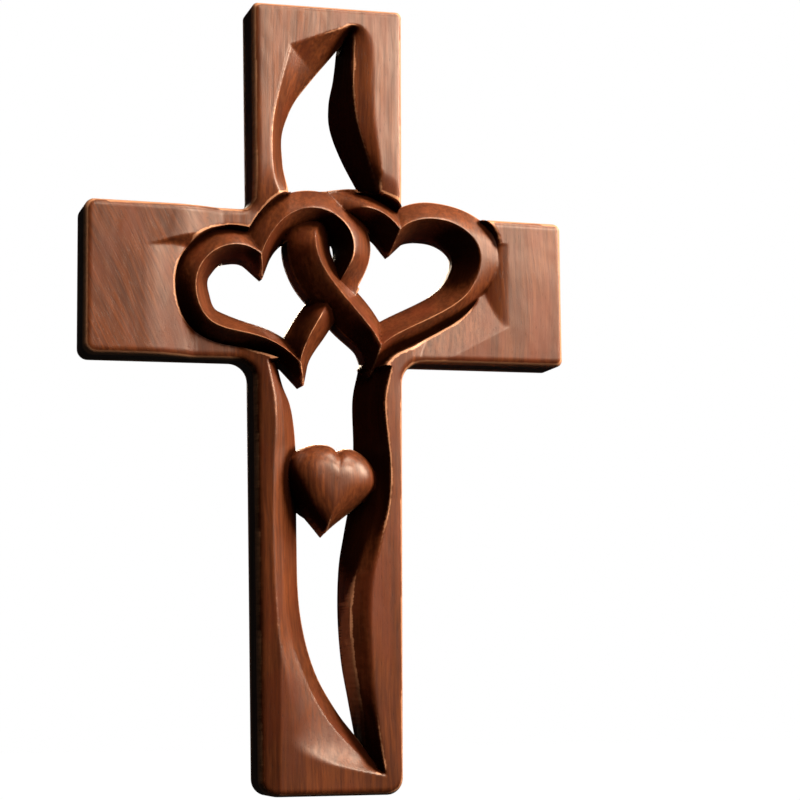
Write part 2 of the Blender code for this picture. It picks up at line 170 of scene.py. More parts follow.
def heart_side(notch: Vector, tip: Vector, lean: float, shares: tuple[float, ...], size: float,
               side: Side) -> Path:
    """One side of a heart, from its notch over the lobe to its tip.

    Args:
        notch: The place of the notch.
        tip: The place of the tip.
        lean: How far the heart leans to the right, in radians.
        shares: Half width, widest place and the pulls at notch, lobe, flank and tip.
        size: What the shares are shares of.
        side: Which side of the heart.

    Returns:
        The curve of that side.
    """
    half, widest, notch_out, notch_up, lobe, flank, tip_out, tip_up = [s * size for s in shares]
    along = Vector((math.sin(lean), math.cos(lean)))
    across = side.value * Vector((math.cos(lean), -math.sin(lean)))
    edge = notch + across * half + along * widest
    top = pulled(notch, notch + across * notch_out + along * notch_up, edge + along * lobe, edge)
    low = pulled(edge, edge - along * flank, tip + across * tip_out + along * tip_up, tip)
    return top + low[1:]


def beside(path: Path, widths: tuple[float, ...], turn: float, run_on: float = 30.0) -> Path:
    """A path moved sideways by widths along it, with both ends run on.

    Args:
        path: The path.
        widths: The distances to move it by, evenly along it.
        turn: 1 to move it to its left, -1 to its right.
        run_on: How far each end runs on.

    Returns:
        The moved path.
    """
    start = path[0] + (path[0] - path[1]).normalized() * run_on
    end = path[-1] + (path[-1] - path[-2]).normalized() * run_on
    longer = [start] + list(path) + [end]
    moved = []
    for i, point in enumerate(longer):
        before = longer[max(i - 1, 0)]
        after = longer[min(i + 1, len(longer) - 1)]
        along = (after - before).normalized()
        width = blend(widths, (i - 1) / (len(path) - 1))
        moved.append(point + turn * Vector((-along.y, along.x)) * width)
    return moved


def meeting(left: Path, right: Path, corner: Vector, near_start: bool) -> tuple[Vector, int, int]:
    """Where two moved sides meet by a corner.

    Args:
        left: The moved left side.
        right: The moved right side.
        corner: The corner that they meet by.
        near_start: Whether that is near their start or near their end.

    Returns:
        The place, and the segment of each side that it lies on.
    """
    best = (math.inf, corner, 0, 0)
    half = len(left) // 2
    span = range(0, half) if near_start else range(half, len(left) - 1)
    for i in span:
        for j in span:
            spot = intersect_line_line_2d(left[i], left[i + 1], right[j], right[j + 1])
            if spot is not None and (spot - corner).length < best[0]:
                best = ((spot - corner).length, spot, i, j)
    return best[1:]


def inside(points: np.ndarray, ring: Path) -> np.ndarray:
    """Which points lie inside a closed ring.

    Args:
        points: An N by 2 array of places.
        ring: The points of the ring.

    Returns:
        A mask with one entry for each point.
    """
    xs = np.array([p.x for p in ring])
    zs = np.array([p.y for p in ring])
    low, high = (xs.min(), zs.min()), (xs.max(), zs.max())
    near = np.flatnonzero((points[:, 0] >= low[0]) & (points[:, 0] <= high[0])
                          & (points[:, 1] >= low[1]) & (points[:, 1] <= high[1]))
    mask = np.zeros(len(points), dtype=bool)
    x, z = points[near, 0], points[near, 1]
    odd = np.zeros(len(near), dtype=bool)
    for i in range(len(ring)):
        xa, za, xb, zb = xs[i - 1], zs[i - 1], xs[i], zs[i]
        if za == zb:
            continue
        crosses = (za > z) != (zb > z)
        odd ^= crosses & (x < xa + (z - za) * (xb - xa) / (zb - za))
    mask[near] = odd
    return mask


def tree_of(spots: dict[int, Vector]) -> KDTree:
    """A tree that finds the nearest of some numbered places."""
    tree = KDTree(len(spots))
    for number, (x, z) in spots.items():
        tree.insert((x, z, 0.0), number)
    tree.balance()
    return tree


def read_rows(items: bpy.types.bpy_prop_collection, name: str, width: int,
              kind: type = float) -> np.ndarray:
    """One row of numbers for each item of a part of a mesh."""
    rows = np.empty(len(items) * width, dtype=kind)
    items.foreach_get(name, rows)
    return rows.reshape(-1, width)


def neighbours(faces: np.ndarray) -> dict[tuple[int, int], int]:
    """Which triangle lies on the left of each directed edge.

    Args:
        faces: The triangles, each anticlockwise.

    Returns:
        The number of a triangle for each of its three edges.
    """
    found = {}
    for number, (a, b, c) in enumerate(faces.tolist()):
        found[(a, b)] = number
        found[(b, c)] = number
        found[(c, a)] = number
    return found


def soft_low(a: np.ndarray, b: np.ndarray, reach: float) -> np.ndarray:
    """The lower of two surfaces, rounded over a reach where they meet."""
    share = np.clip(0.5 + 0.5 * (b - a) / reach, 0.0, 1.0)
    return b + (a - b) * share - reach * share * (1.0 - share)


def soft_high(a: np.ndarray, b: np.ndarray, reach: float) -> np.ndarray:
    """The higher of two surfaces, filled over a reach where they meet."""
    return -soft_low(-a, -b, reach)


# ------------------------------------------------------------------------------------------------
# Surfaces that carving leaves
# ------------------------------------------------------------------------------------------------


@dataclass
class CarvedSurface:
    """A surface through rows of points in X, Z and H, that gives its height at any place."""

    rows: list[list[Vector]]
    closed: bool = False

    def __post_init__(self) -> None:
        """Build the tree that heights are read from."""
        points = [tuple(p) for row in self.rows for p in row]
        count = len(self.rows[0])
        spans = count if self.closed else count - 1
        faces = []
        for r in range(len(self.rows) - 1):
            for i in range(spans):
                j = (i + 1) % count
                a, b = r * count + i, r * count + j
                c, d = b + count, a + count
                faces.append((a, b, c))
                faces.append((a, c, d))
        self.tree = BVHTree.FromPolygons(points, faces, all_triangles=True)
        flat = np.array(points)
        self.low = flat.min(axis=0)
        self.high = flat.max(axis=0)

    def heights(self, places: np.ndarray, missing: float) -> np.ndarray:
        """The height of the surface at each place.

        Args:
            places: An N by 2 array of places.
            missing: The height to give where the surface isn't.

        Returns:
            One height for each place.
        """
        found = np.full(len(places), missing)
        near = np.flatnonzero((places[:, 0] >= self.low[0]) & (places[:, 0] <= self.high[0])
                              & (places[:, 1] >= self.low[1]) & (places[:, 1] <= self.high[1]))
        down = Vector((0.0, 0.0, -1.0))
        for k in near:
            x, z = places[k]
            spot = self.tree.ray_cast(Vector((x, z, 80.0)), down)[0]
            if spot is None:
                spot = self.tree.ray_cast(Vector((x + 0.004, z + 0.003, 80.0)), down)[0]
            if spot is not None:
                found[k] = spot.z
        return found


@dataclass(frozen=True)
class Facet:
    """A cut that falls away from a line: a place on the line, the way it falls, how steeply."""

    x: float
    z: float
    turn: float
    slope: float = 0.0
    curve: float = 0.0

    def depth(self, places: np.ndarray) -> np.ndarray:
        """How deep the cut is at each place, without a floor."""
        angle = math.radians(self.turn)
        run = (places[:, 0] - self.x) * math.cos(angle) + (places[:, 1] - self.z) * math.sin(angle)
        run = np.clip(run, 0.0, None)
        return self.slope * run + self.curve * run * run


@dataclass(frozen=True)
class Scoop:
    """A shallow hollow that several facets close in, with a floor."""

    floor: float
    facets: tuple[Facet, ...]
    soft: float = 0.8

    def depth(self, places: np.ndarray) -> np.ndarray:
        """How deep the hollow is at each place."""
        deep = np.full(len(places), self.floor)
        for facet in self.facets:
            cut = facet.depth(places)
            deep = np.where(cut > 0.0, soft_low(deep, cut, np.minimum(self.soft, cut)), 0.0)
        return np.clip(deep, 0.0, None)


@dataclass(frozen=True)
class Dish:
    """A shallow hollow with a soft rim: middle, depth, half width, half height."""

    x: float
    z: float
    floor: float
    half_width: float
    half_height: float

    def depth(self, places: np.ndarray) -> np.ndarray:
        """How deep the hollow is at each place."""
        u = (places[:, 0] - self.x) / self.half_width
        v = (places[:, 1] - self.z) / self.half_height
        return self.floor * np.clip(1.0 - u * u - v * v, 0.0, 1.0) ** 2


# ------------------------------------------------------------------------------------------------
# The board and what is carved into it
# ------------------------------------------------------------------------------------------------


@dataclass(frozen=True)
class Board:
    """The cross-shaped board that everything is carved from."""

    height: float = 300.0
    thickness: float = 20.0
    arm_span: float = 186.5
    head_width: float = 59.2
    foot_width: float = 54.2
    arm_top: float = 220.0
    arm_base: float = 162.5
    arm_end_fall: float = 1.0
    edge_round: float = 2.8
    head_corner: float = 2.4
    foot_corner: float = 6.2
    left_arm_corner: float = 4.0
    right_arm_corner: float = 2.8
    shoulder_corner: float = 4.5
    left_armpit_corner: float = 7.2
    right_armpit_corner: float = 8.0
    corner_steps: int = 9
    hole_drop: float = 12.0
    hole_width: float = 6.0
    hole_depth: float = 8.0
    hearts_width: float = 127.0
    hollows: tuple[Scoop | Dish, ...] = (
        # The left arm, beside the left heart
        Scoop(6.2, (Facet(-71.5, 190.0, 0.0, curve=0.0145), Facet(-65.2, 205.3, -73.0, 1.1),
                    Facet(-20.0, 190.0, 180.0, 0.45))),
        # The shoulder over the left heart, and the dip between the two hearts
        Scoop(4.0, (Facet(-60.0, 210.0, 0.0, curve=0.012), Facet(8.0, 210.0, 180.0, 0.2),
                    Facet(0.0, 238.0, -90.0, curve=0.012), Facet(0.0, 190.0, 90.0, 0.3))),
        Dish(2.0, 223.0, 6.0, 31.0, 17.0),
        # The pocket below the right heart's tip
        Scoop(12.5, (Facet(4.0, 160.0, 0.0, 2.6), Facet(21.0, 160.0, 180.0, 2.6),
                     Facet(12.5, 152.2, 90.0, 2.6), Facet(12.5, 168.2, -90.0, 2.6))),
        # The sill of the upper opening
        Scoop(9.6, (Facet(-19.0, 225.0, 0.0, 0.9), Facet(21.0, 225.0, 180.0, 0.9),
                    Facet(0.0, 215.0, 90.0, 1.2), Facet(0.0, 236.0, -90.0, 1.6))),
        # The right arm, beside the right heart
        Scoop(6.4, (Facet(71.3, 190.0, 180.0, 0.10, 0.045), Facet(64.2, 210.2, -95.0, 1.0),
                    Facet(70.2, 177.0, 118.0, 0.26), Facet(32.0, 190.0, 0.0, 0.45)), soft=0.4),
    )

    def place(self, x: float, z: float, h: float) -> tuple[float, float, float]:
        """A point of the layout as a place in the frame, in metres."""
        return (x * MM, -h * MM, (z - self.height + self.hole_drop) * MM)

    def half_post(self, z: float) -> float:
        """Half the width of the post at one height."""
        return 0.5 * (self.foot_width + (self.head_width - self.foot_width) * z / self.height)

    def upper(self, share_x: float, share_z: float) -> Vector:
        """A place on the upper limb, by shares of its half width and its length."""
        z = self.arm_top + share_z * (self.height - self.arm_top)
        return Vector((share_x * self.half_post(z), z))

    def lower(self, share_x: float, share_z: float) -> Vector:
        """A place on the lower limb, by shares of its half width and its length."""
        z = share_z * self.arm_base
        return Vector((share_x * self.half_post(z), z))

    def crossing(self, share_x: float, share_z: float) -> Vector:
        """A place where the arms cross the post, by shares of half its width and the arms' height."""
        z = self.arm_base + share_z * (self.arm_top - self.arm_base)
        return Vector((share_x * self.half_post(z), z))

    def at_hearts(self, share_x: float, share_z: float) -> Vector:
        """A place on the linked hearts, by shares of their joint width from the crossing's middle."""
        middle = 0.5 * (self.arm_top + self.arm_base)
        return Vector((share_x * self.hearts_width, middle + share_z * self.hearts_width))

    def arc_corner(self, before: Vector, corner: Vector, after: Vector, radius: float) -> Path:
        """A corner of the outline rounded by an arc.

        Args:
            before: The corner before it.
            corner: The corner.
            after: The corner after it.
            radius: The radius of the arc.

        Returns:
            The points of the arc.
        """
        a = (before - corner).normalized()
        b = (after - corner).normalized()
        half = 0.5 * a.angle(b)
        run = radius / math.tan(half)
        middle = corner + (a + b).normalized() * (radius / math.sin(half))
        start = corner + a * run - middle
        turn = (corner + b * run - middle).angle(start)
        around = start.x * (corner.y - middle.y) - start.y * (corner.x - middle.x)
        turn = math.copysign(turn, around)
        points = []
        for i in range(self.corner_steps + 1):
            angle = turn * i / self.corner_steps
            points.append(middle + Vector((
                start.x * math.cos(angle) - start.y * math.sin(angle),
                start.x * math.sin(angle) + start.y * math.cos(angle))))
        return points

    def outline(self) -> Path:
        """The outline of the cross, with every corner rounded."""
        arm = 0.5 * self.arm_span
        foot = self.half_post(0.0)
        head = self.half_post(self.height)
        base = self.half_post(self.arm_base)
        top = self.half_post(self.arm_top)
        corners = [
            (-foot, 0.0, self.foot_corner),
            (foot, 0.0, self.foot_corner),
            (base, self.arm_base, self.right_armpit_corner),
            (arm, self.arm_base, self.right_arm_corner),
            (arm, self.arm_top - self.arm_end_fall, self.right_arm_corner),
            (top, self.arm_top, self.shoulder_corner),
            (head, self.height, self.head_corner),
            (-head, self.height, self.head_corner),
            (-top, self.arm_top, self.shoulder_corner),
            (-arm, self.arm_top + 0.8 * self.arm_end_fall, self.left_arm_corner),
            (-arm, self.arm_base, self.left_arm_corner),
            (-base, self.arm_base, self.left_armpit_corner),
        ]
        outline = []
        for i, (x, z, radius) in enumerate(corners):
            before = Vector(corners[i - 1][:2])
            after = Vector(corners[(i + 1) % len(corners)][:2])
            outline += self.arc_corner(before, Vector((x, z)), after, radius)
        return outline

    def inset(self, places: np.ndarray) -> np.ndarray:
        """How far each place lies inside the outline, up to a little more than the edge rounding."""
        outline = self.outline()
        ring = spaced(outline + outline[:1], 0.5)
        tree = tree_of(dict(enumerate(ring)))
        deep = np.full(len(places), WELL_INSIDE)
        for k, (x, z) in enumerate(places):
            _, i, gap = tree.find((x, z, 0.0))
            if gap > RIM_REACH:
                continue
            here = Vector((x, z))
            best = gap
            for j in (i - 1, i):
                a, b = ring[j], ring[(j + 1) % len(ring)]
                along = b - a
                if along.length_squared > 1e-9:
                    t = min(max((here - a).dot(along) / along.length_squared, 0.0), 1.0)
                    best = min(best, (here - a - along * t).length)
            deep[k] = best
        return deep

    def heights(self, places: np.ndarray) -> np.ndarray:
        """The front of the board with its rounded edge and its hollows, before the openings."""
        deep = self.inset(places)
        r = self.edge_round
        drop = r - np.sqrt(np.clip(r * r - np.clip(r - deep, 0.0, r) ** 2, 0.0, None))
        deep = np.zeros(len(places))
        for hollow in self.hollows:
            deep = np.maximum(deep, hollow.depth(places))
        return self.thickness - deep - drop


@dataclass(frozen=True)
class Opening:
    """What the two openings share: rows of shares from the daylight out to the front."""

    board: Board
    overcut: float = 2.0
    steps: int = 12

    def side(self, spots: list[Vector]) -> Path:
        """One side of an opening as a fine flowing curve."""
        return flowing(spots, self.steps)

    def at_level(self, path: Path, levels: list[float]) -> list[Vector]:
        """A path lifted to heights that change smoothly along it."""
        count = len(path) - 1
        return [Vector((p.x, p.y, blend(tuple(levels), i / count))) for i, p in enumerate(path)]

    def run_out(self, near: list[Vector], far: list[Vector], share: float) -> list[Vector]:
        """A row run on past far, by a share of the way from near."""
        return [b + (b - a) * share for a, b in zip(near, far)]


@dataclass(frozen=True)
class UpperOpening(Opening):
    """The flame-shaped opening of the upper limb, bevelled on its left and hollowed on its right."""

    lip: float = 8.5
    hollow: float = 17.0

    def left_edge(self) -> list[Vector]:
        """The left edge of the daylight."""
        u = self.board.upper
        return [u(-0.51, 0.07), u(-0.56, 0.24), u(-0.555, 0.37), u(-0.49, 0.46),
                u(-0.36, 0.56), u(-0.09, 0.69), u(0.08, 0.765), u(0.27, 0.85)]

    def back_right(self) -> list[Vector]:
        """The right edge of the daylight at the back."""
        u = self.board.upper
        return [u(0.27, 0.85), u(0.25, 0.81), u(0.23, 0.76), u(0.195, 0.68),
                u(0.13, 0.57), u(0.14, 0.45), u(0.30, 0.30), u(0.60, 0.11)]

    def mid_right(self) -> list[Vector]:
        """Where the steep wall of the hollow turns into its slope."""
        u = self.board.upper
        return [u(0.27, 0.85), u(0.315, 0.893), u(0.36, 0.865), u(0.36, 0.745),
                u(0.355, 0.60), u(0.405, 0.45), u(0.53, 0.29), u(0.70, 0.10)]

    def front_left(self) -> list[Vector]:
        """The rim of the left bevel in the front face."""
        u = self.board.upper
        return [u(-0.74, 0.07), u(-0.77, 0.28), u(-0.75, 0.42), u(-0.70, 0.52),
                u(-0.62, 0.64), u(-0.51, 0.795), u(-0.20, 0.84), u(0.15, 0.89)]

    def front_right(self) -> list[Vector]:
        """The rim of the hollow in the front face."""
        u = self.board.upper
        return [u(0.15, 0.89), u(0.32, 0.915), u(0.47, 0.895), u(0.57, 0.82),
                u(0.585, 0.64), u(0.60, 0.47), u(0.66, 0.30), u(0.735, 0.09)]

    def sill(self) -> Path:
        """The sill of the opening, from its right end to its left."""
        u = self.board.upper
        return flowing([u(0.60, 0.11), u(0.40, 0.130), u(0.18, 0.125), u(-0.16, 0.104),
                        u(-0.51, 0.07)], self.steps)

    def broken(self, spots: list[Vector], at: int) -> Path:
        """A side with a sharp turn at one of its points."""
        return self.side(spots[:at + 1]) + self.side(spots[at:])[1:]

    def rows(self) -> list[list[Vector]]:
        """The rows of the carved surface, from inside the daylight to above the front."""
        top = self.board.thickness
        lip_left = self.at_level(self.broken(self.left_edge(), 5),
                                 [15.0, 10.5, *[self.lip] * 4, 9.5, 10.5])
        rim_left = self.at_level(self.broken(self.front_left(), 5), [top, top])
        lip_right = self.at_level(self.side(self.mid_right()),
                                  [10.5, 14.5, *[self.hollow] * 6])
        rim_right = self.at_level(self.side(self.front_right()), [top, top])
        back_right = self.at_level(self.side(self.back_right()), [8.0, *[-self.overcut] * 6])
        inner_left = self.run_out(rim_left, lip_left, 0.25)
        inner = inner_left[:-1] + back_right
        lip = lip_left[:-1] + lip_right
        rim = rim_left[:-1] + rim_right
        rows = [inner, lip]
        for share in (0.25, 0.5, 0.75, 0.92):
            rows.append([a.lerp(b, share) for a, b in zip(lip, rim)])
        rows.append(rim)
        rows.append(self.run_out(lip, rim, 0.16))
        return rows

    def daylight(self) -> Path:
        """The ring of the daylight, where the carving reaches the back."""
        share = self.overcut / (self.overcut + self.hollow)
        right = [a.lerp(b, share) for a, b in zip(self.side(self.back_right()),
                                                  self.side(self.mid_right()))]
        return self.broken(self.left_edge(), 5) + right[1:] + self.sill()[1:-1]

    def guides(self) -> list[Path]:
        """The lines that the mesh follows: rim, lip and the diagonal turn of the bevel."""
        left, right = self.broken(self.front_left(), 5), self.side(self.front_right())
        turn = [self.left_edge()[5], self.front_left()[5]]
        return [left, right, self.side(self.mid_right()), turn]


@dataclass(frozen=True)
class LowerOpening(Opening):
    """The long opening of the lower limb, from the linked hearts down to its pointed foot."""

    lip: float = 8.5
    hollow: float = 14.5
    facet_fall: float = 4.0

    def left_edge(self) -> list[Vector]:
        """The left edge of the daylight."""
        w = self.board.lower
        return [w(-0.65, 1.00), w(-0.57, 0.945), w(-0.47, 0.90), w(-0.415, 0.84),
                w(-0.395, 0.76), w(-0.395, 0.59), w(-0.38, 0.46), w(-0.315, 0.375),
                w(-0.205, 0.304), w(-0.06, 0.247), w(0.17, 0.184), w(0.33, 0.147),
                w(0.50, 0.110)]

    def facet_left(self) -> list[Vector]:
        """The right edge of the long facet on the left."""
        w = self.board.lower
        return [w(-0.78, 1.00), w(-0.70, 0.95), w(-0.63, 0.90), w(-0.605, 0.82),
                w(-0.62, 0.74), w(-0.64, 0.58), w(-0.61, 0.44), w(-0.55, 0.36),
                w(-0.43, 0.30), w(-0.25, 0.228), w(-0.02, 0.165), w(0.28, 0.11),
                w(0.66, 0.058)]

    def front_left(self) -> list[Vector]:
        """The rim of the long facet in the front face."""
        w = self.board.lower
        return [w(-0.90, 1.00), w(-0.84, 0.955), w(-0.785, 0.91), w(-0.77, 0.84),
                w(-0.82, 0.75), w(-0.84, 0.58), w(-0.785, 0.44), w(-0.73, 0.35),
                w(-0.60, 0.25), w(-0.56, 0.17), w(-0.49, 0.113), w(-0.05, 0.075),
                w(0.74, 0.045)]

    def back_right(self) -> list[Vector]:
        """The right edge of the daylight at the back."""
        w = self.board.lower
        return [w(0.50, 0.110), w(0.375, 0.22), w(0.28, 0.31), w(0.235, 0.42),
                w(0.25, 0.53), w(0.315, 0.61), w(0.41, 0.71), w(0.445, 0.81),
                w(0.44, 0.92), w(0.52, 0.99)]

    def mid_right(self) -> list[Vector]:
        """Where the steep wall on the right turns into its first slope."""
        w = self.board.lower
        return [w(0.50, 0.110), w(0.395, 0.22), w(0.315, 0.31), w(0.285, 0.405),
                w(0.335, 0.48), w(0.50, 0.565), w(0.66, 0.65), w(0.70, 0.77),
                w(0.655, 0.90), w(0.72, 0.99)]

    def facet_right(self) -> list[Vector]:
        """Where the first slope on the right turns into the second."""
        w = self.board.lower
        return [w(0.66, 0.058), w(0.575, 0.15), w(0.475, 0.25), w(0.43, 0.38),
                w(0.46, 0.485), w(0.60, 0.575), w(0.74, 0.66), w(0.765, 0.765),
                w(0.70, 0.90), w(0.78, 0.99)]

    def front_right(self) -> list[Vector]:
        """The rim of the right slopes in the front face."""
        w = self.board.lower
        return [w(0.74, 0.045), w(0.65, 0.14), w(0.57, 0.25), w(0.53, 0.38),
                w(0.56, 0.49), w(0.68, 0.58), w(0.80, 0.67), w(0.82, 0.76),
                w(0.745, 0.90), w(0.84, 0.99)]

    def top(self) -> Path:
        """What closes the opening under the linked hearts, from its right end to its left."""
        c = self.board.crossing
        return flowing([self.back_right()[-1], c(0.624, 0.125), c(0.378, 0.257), c(0.133, 0.367),
                        c(-0.111, 0.257), c(-0.357, 0.103), self.left_edge()[0]], self.steps)

    def rows(self) -> list[list[Vector]]:
        """The rows of the carved surface, from inside the daylight to above the front."""
        top = self.board.thickness
        facet = top - self.facet_fall
        lip_left = self.at_level(self.side(self.left_edge()),
                                 [*[self.lip] * 5, 11.0])
        facet_left = self.at_level(self.side(self.facet_left()), [facet, facet])
        rim_left = self.at_level(self.side(self.front_left()), [top, top])
        back_right = self.at_level(self.side(self.back_right()),
                                   [-self.overcut, -self.overcut])
        lip_right = self.at_level(self.side(self.mid_right()),
                                  [11.0, *[self.hollow] * 6, 13.0, 12.0, 12.0])
        facet_right = self.at_level(self.side(self.facet_right()),
                                    [facet, 17.2, 17.4, 17.4, 17.4, 17.2, 16.8, 16.5, 16.0, 16.0])
        rim_right = self.at_level(self.side(self.front_right()), [top, top])
        inner_left = self.run_out(facet_left, lip_left, 0.25)
        inner = inner_left[:-1] + back_right
        lip = lip_left[:-1] + lip_right
        mid = facet_left[:-1] + facet_right
        rim = rim_left[:-1] + rim_right
        rows = [inner, lip]
        rows += [[a.lerp(b, share) for a, b in zip(lip, mid)] for share in (0.33, 0.66)]
        rows.append(mid)
        rows += [[a.lerp(b, share) for a, b in zip(mid, rim)] for share in (0.33, 0.66)]
        rows.append(rim)
        rows.append(self.run_out(mid, rim, 0.4))
        return rows

    def daylight(self) -> Path:
        """The ring of the daylight, where the carving reaches the back."""
        share = self.overcut / (self.overcut + self.hollow)
        right = [a.lerp(b, share) for a, b in zip(self.side(self.back_right()),
                                                  self.side(self.mid_right()))]
        return self.side(self.left_edge()) + right[1:] + self.top()[1:-1]

    def guides(self) -> list[Path]:
        """The lines that the mesh follows: both rims, both facet edges and the right lip."""
        return [self.side(self.front_left()), self.side(self.facet_left()),
                self.side(self.front_right()), self.side(self.facet_right()),
                self.side(self.mid_right())]


@dataclass(frozen=True)
class LinkedHeart:
    """One of the two linked hearts: a ridged band that dips where it passes under the other."""

    board: Board
    notch: tuple[float, float]
    tip: tuple[float, float]
    lean: float
    left: tuple[float, ...]
    right: tuple[float, ...]
    out_left: tuple[float, ...]
    out_right: tuple[float, ...]
    in_left: tuple[float, ...]
    in_right: tuple[float, ...]
    steps: int = 130
    foot_out: float = 11.0
    foot_in: float = 6.0
    moat_depth: float = 8.4
    moat_reach: float = 0.9
    moat_share: float = 0.93
    link_dip: float = 8.5
    link_reach: float = 15.0
    crest_round: float = 0.35
    crest_wear: float = 0.10
    lift_at: tuple[float, float] = (0.0, 0.0)
    lift_reach: float = 1.0
    lift_by: float = 0.0

    def foot(self, p: Vector) -> float:
        """The height of the outer slope's foot, which lies higher where the board stays high."""
        away = math.hypot(p.x - self.lift_at[0], p.y - self.lift_at[1])
        return self.foot_out + self.lift_by * smooth(max(0.0, 1.0 - away / self.lift_reach))

    def sides(self) -> tuple[Path, Path]:
        """The crest of the heart: its left and its right side."""
        notch = self.board.at_hearts(*self.notch)
        tip = self.board.at_hearts(*self.tip)
        lean = math.radians(self.lean)
        width = self.board.hearts_width
        left = heart_side(notch, tip, lean, self.left, width, Side.LEFT)
        right = heart_side(notch, tip, lean, self.right, width, Side.RIGHT)
        return left, right

    def crest(self) -> Path:
        """The crest as one closed ring."""
        left, right = self.sides()
        return resample(left, self.steps) + resample(right, self.steps)[-2:0:-1]

    def ring(self, way: Way, share: float = 1.0, reach: float = 0.0) -> Path:
        """A closed ring beside the crest, with a sharp notch and a sharp tip.

        Args:
            way: Outward or inward of the crest.
            share: The share of the band's width that it lies at.
            reach: How much further it lies, in millimetres.

        Returns:
            The ring, point for point beside the crest.
        """
        left, right = self.sides()
        if way is Way.OUTWARD:
            widths = (self.out_left, self.out_right)
        else:
            widths = (self.in_left, self.in_right)
        wide_left = tuple(share * w + reach for w in widths[0])
        wide_right = tuple(share * w + reach for w in widths[1])
        a = beside(left, wide_left, -way.value)
        b = beside(right, wide_right, way.value)
        notch, i, j = meeting(a, b, left[0], True)
        tip, k, m = meeting(a, b, left[-1], False)
        a = resample([notch] + a[i + 1:k + 1] + [tip], self.steps)
        b = resample([notch] + b[j + 1:m + 1] + [tip], self.steps)
        return a + b[-2:0:-1]

    def ridge(self, under: Vector) -> list[Vector]:
        """The crest with its height, which dips round the place where it passes under."""
        line = []
        for p in self.crest():
            near = max(0.0, 1.0 - (p - under).length / self.link_reach)
            dip = self.link_dip * smooth(near)
            line.append(Vector((p.x, p.y, self.board.thickness - dip)))
        return line

    def slope(self, ridge: list[Vector], way: Way) -> list[list[Vector]]:
        """The rows of one slope of the band, from beside the crest to beyond its foot.

        Args:
            ridge: The crest with its heights.
            way: The outer or the inner slope.

        Returns:
            The rows, nearest the crest first.
        """
        bulge = 1.16 if way is Way.OUTWARD else 1.06
        ring = self.ring(way)
        rows = []
        for share in (0.0, 0.15, 0.3, 0.45, 0.6, 0.8, 1.0, 1.15):
            row = []
            for top, low in zip(ridge, ring):
                gap = Vector((low.x - top.x, low.y - top.y))
                foot = self.foot(low) if way is Way.OUTWARD else self.foot_in
                start = min(self.crest_round / max(gap.length, 1e-6), 0.3)
                at = start + (1.0 - start) * share
                row.append(Vector((top.x + gap.x * at, top.y + gap.y * at,
                                   top.z - (top.z - foot) * at ** bulge)))
            rows.append(row)
        return rows

    def band(self, under: Vector) -> CarvedSurface:
        """The ridged surface of the band."""
        ridge = self.ridge(under)
        worn = [Vector((p.x, p.y, p.z - self.crest_wear)) for p in ridge]
        outer = self.slope(ridge, Way.OUTWARD)
        inner = self.slope(ridge, Way.INWARD)
        return CarvedSurface(outer[::-1] + [worn] + inner, closed=True)

    def moat(self) -> CarvedSurface:
        """The slope that the board is cut back to round the band."""
        top = self.board.thickness
        low = self.ring(Way.OUTWARD, self.moat_share)
        high = self.ring(Way.OUTWARD, 1.0, self.moat_reach)
        floors = [max(top - self.moat_depth, self.foot(p) - 0.3) for p in high]
        rows = []
        for share in (-0.1, 0.0, 0.33, 0.66, 1.0, 1.25):
            rows.append([Vector((*a.lerp(b, share), floor + (top - floor) * share))
                         for a, b, floor in zip(low, high, floors)])
        return CarvedSurface(rows, closed=True)

    def guides(self) -> list[Path]:
        """The lines that the mesh follows along the crest."""
        crest = self.crest()
        lines = [crest + crest[:1]]
        for way in (Way.OUTWARD, Way.INWARD):
            ring = self.ring(way)
            line = []
            for top, low in zip(crest, ring):
                gap = low - top
                share = min(self.crest_round / max(gap.length, 1e-6), 0.3)
                line.append(top + gap * share)
            lines.append(line + line[:1])
        return lines


def left_heart(board: Board) -> LinkedHeart:
    """The left of the linked hearts."""
    return LinkedHeart(
        board=board, notch=(-0.2102, 0.0842), tip=(-0.0937, -0.2370), lean=-13.4,
        left=(0.2181, -0.0866, 0.0567, 0.0858, 0.1354, 0.1535, 0.0906, 0.1654),
        right=(0.2874, -0.0087, 0.1220, 0.1898, 0.1071, 0.1087, 0.0512, 0.1213),
        out_left=(7.5, 8.0, 7.6, 6.8, 5.4, 4.8, 2.9),
        out_right=(7.5, 8.2, 8.6, 9.0, 7.6, 6.7, 4.8),
        in_left=(3.2, 4.6, 6.0, 7.8, 7.8, 6.4, 6.4),
        in_right=(5.6, 8.4, 6.0, 3.6, 3.4, 6.0, 6.4))


def right_heart(board: Board) -> LinkedHeart:
    """The right of the linked hearts."""
    return LinkedHeart(
        board=board, notch=(0.2189, 0.1787), tip=(0.1551, -0.1795), lean=32.0,
        left=(0.2118, -0.1260, 0.1472, 0.0535, 0.0331, 0.1457, 0.0756, 0.0638),
        right=(0.2795, -0.0283, 0.0236, 0.1157, 0.2260, 0.0992, 0.0126, 0.0780),
        out_left=(7.0, 7.0, 8.2, 9.2, 9.2, 7.7, 5.2),
        out_right=(7.0, 8.2, 8.7, 5.2, 5.8, 6.3, 5.4),
        in_left=(6.0, 7.2, 8.6, 8.8, 9.0, 9.2, 7.8),
        in_right=(5.4, 6.2, 6.6, 7.6, 7.4, 7.4, 7.2),
        lift_at=(63.0, 203.0), lift_reach=32.0, lift_by=8.4)


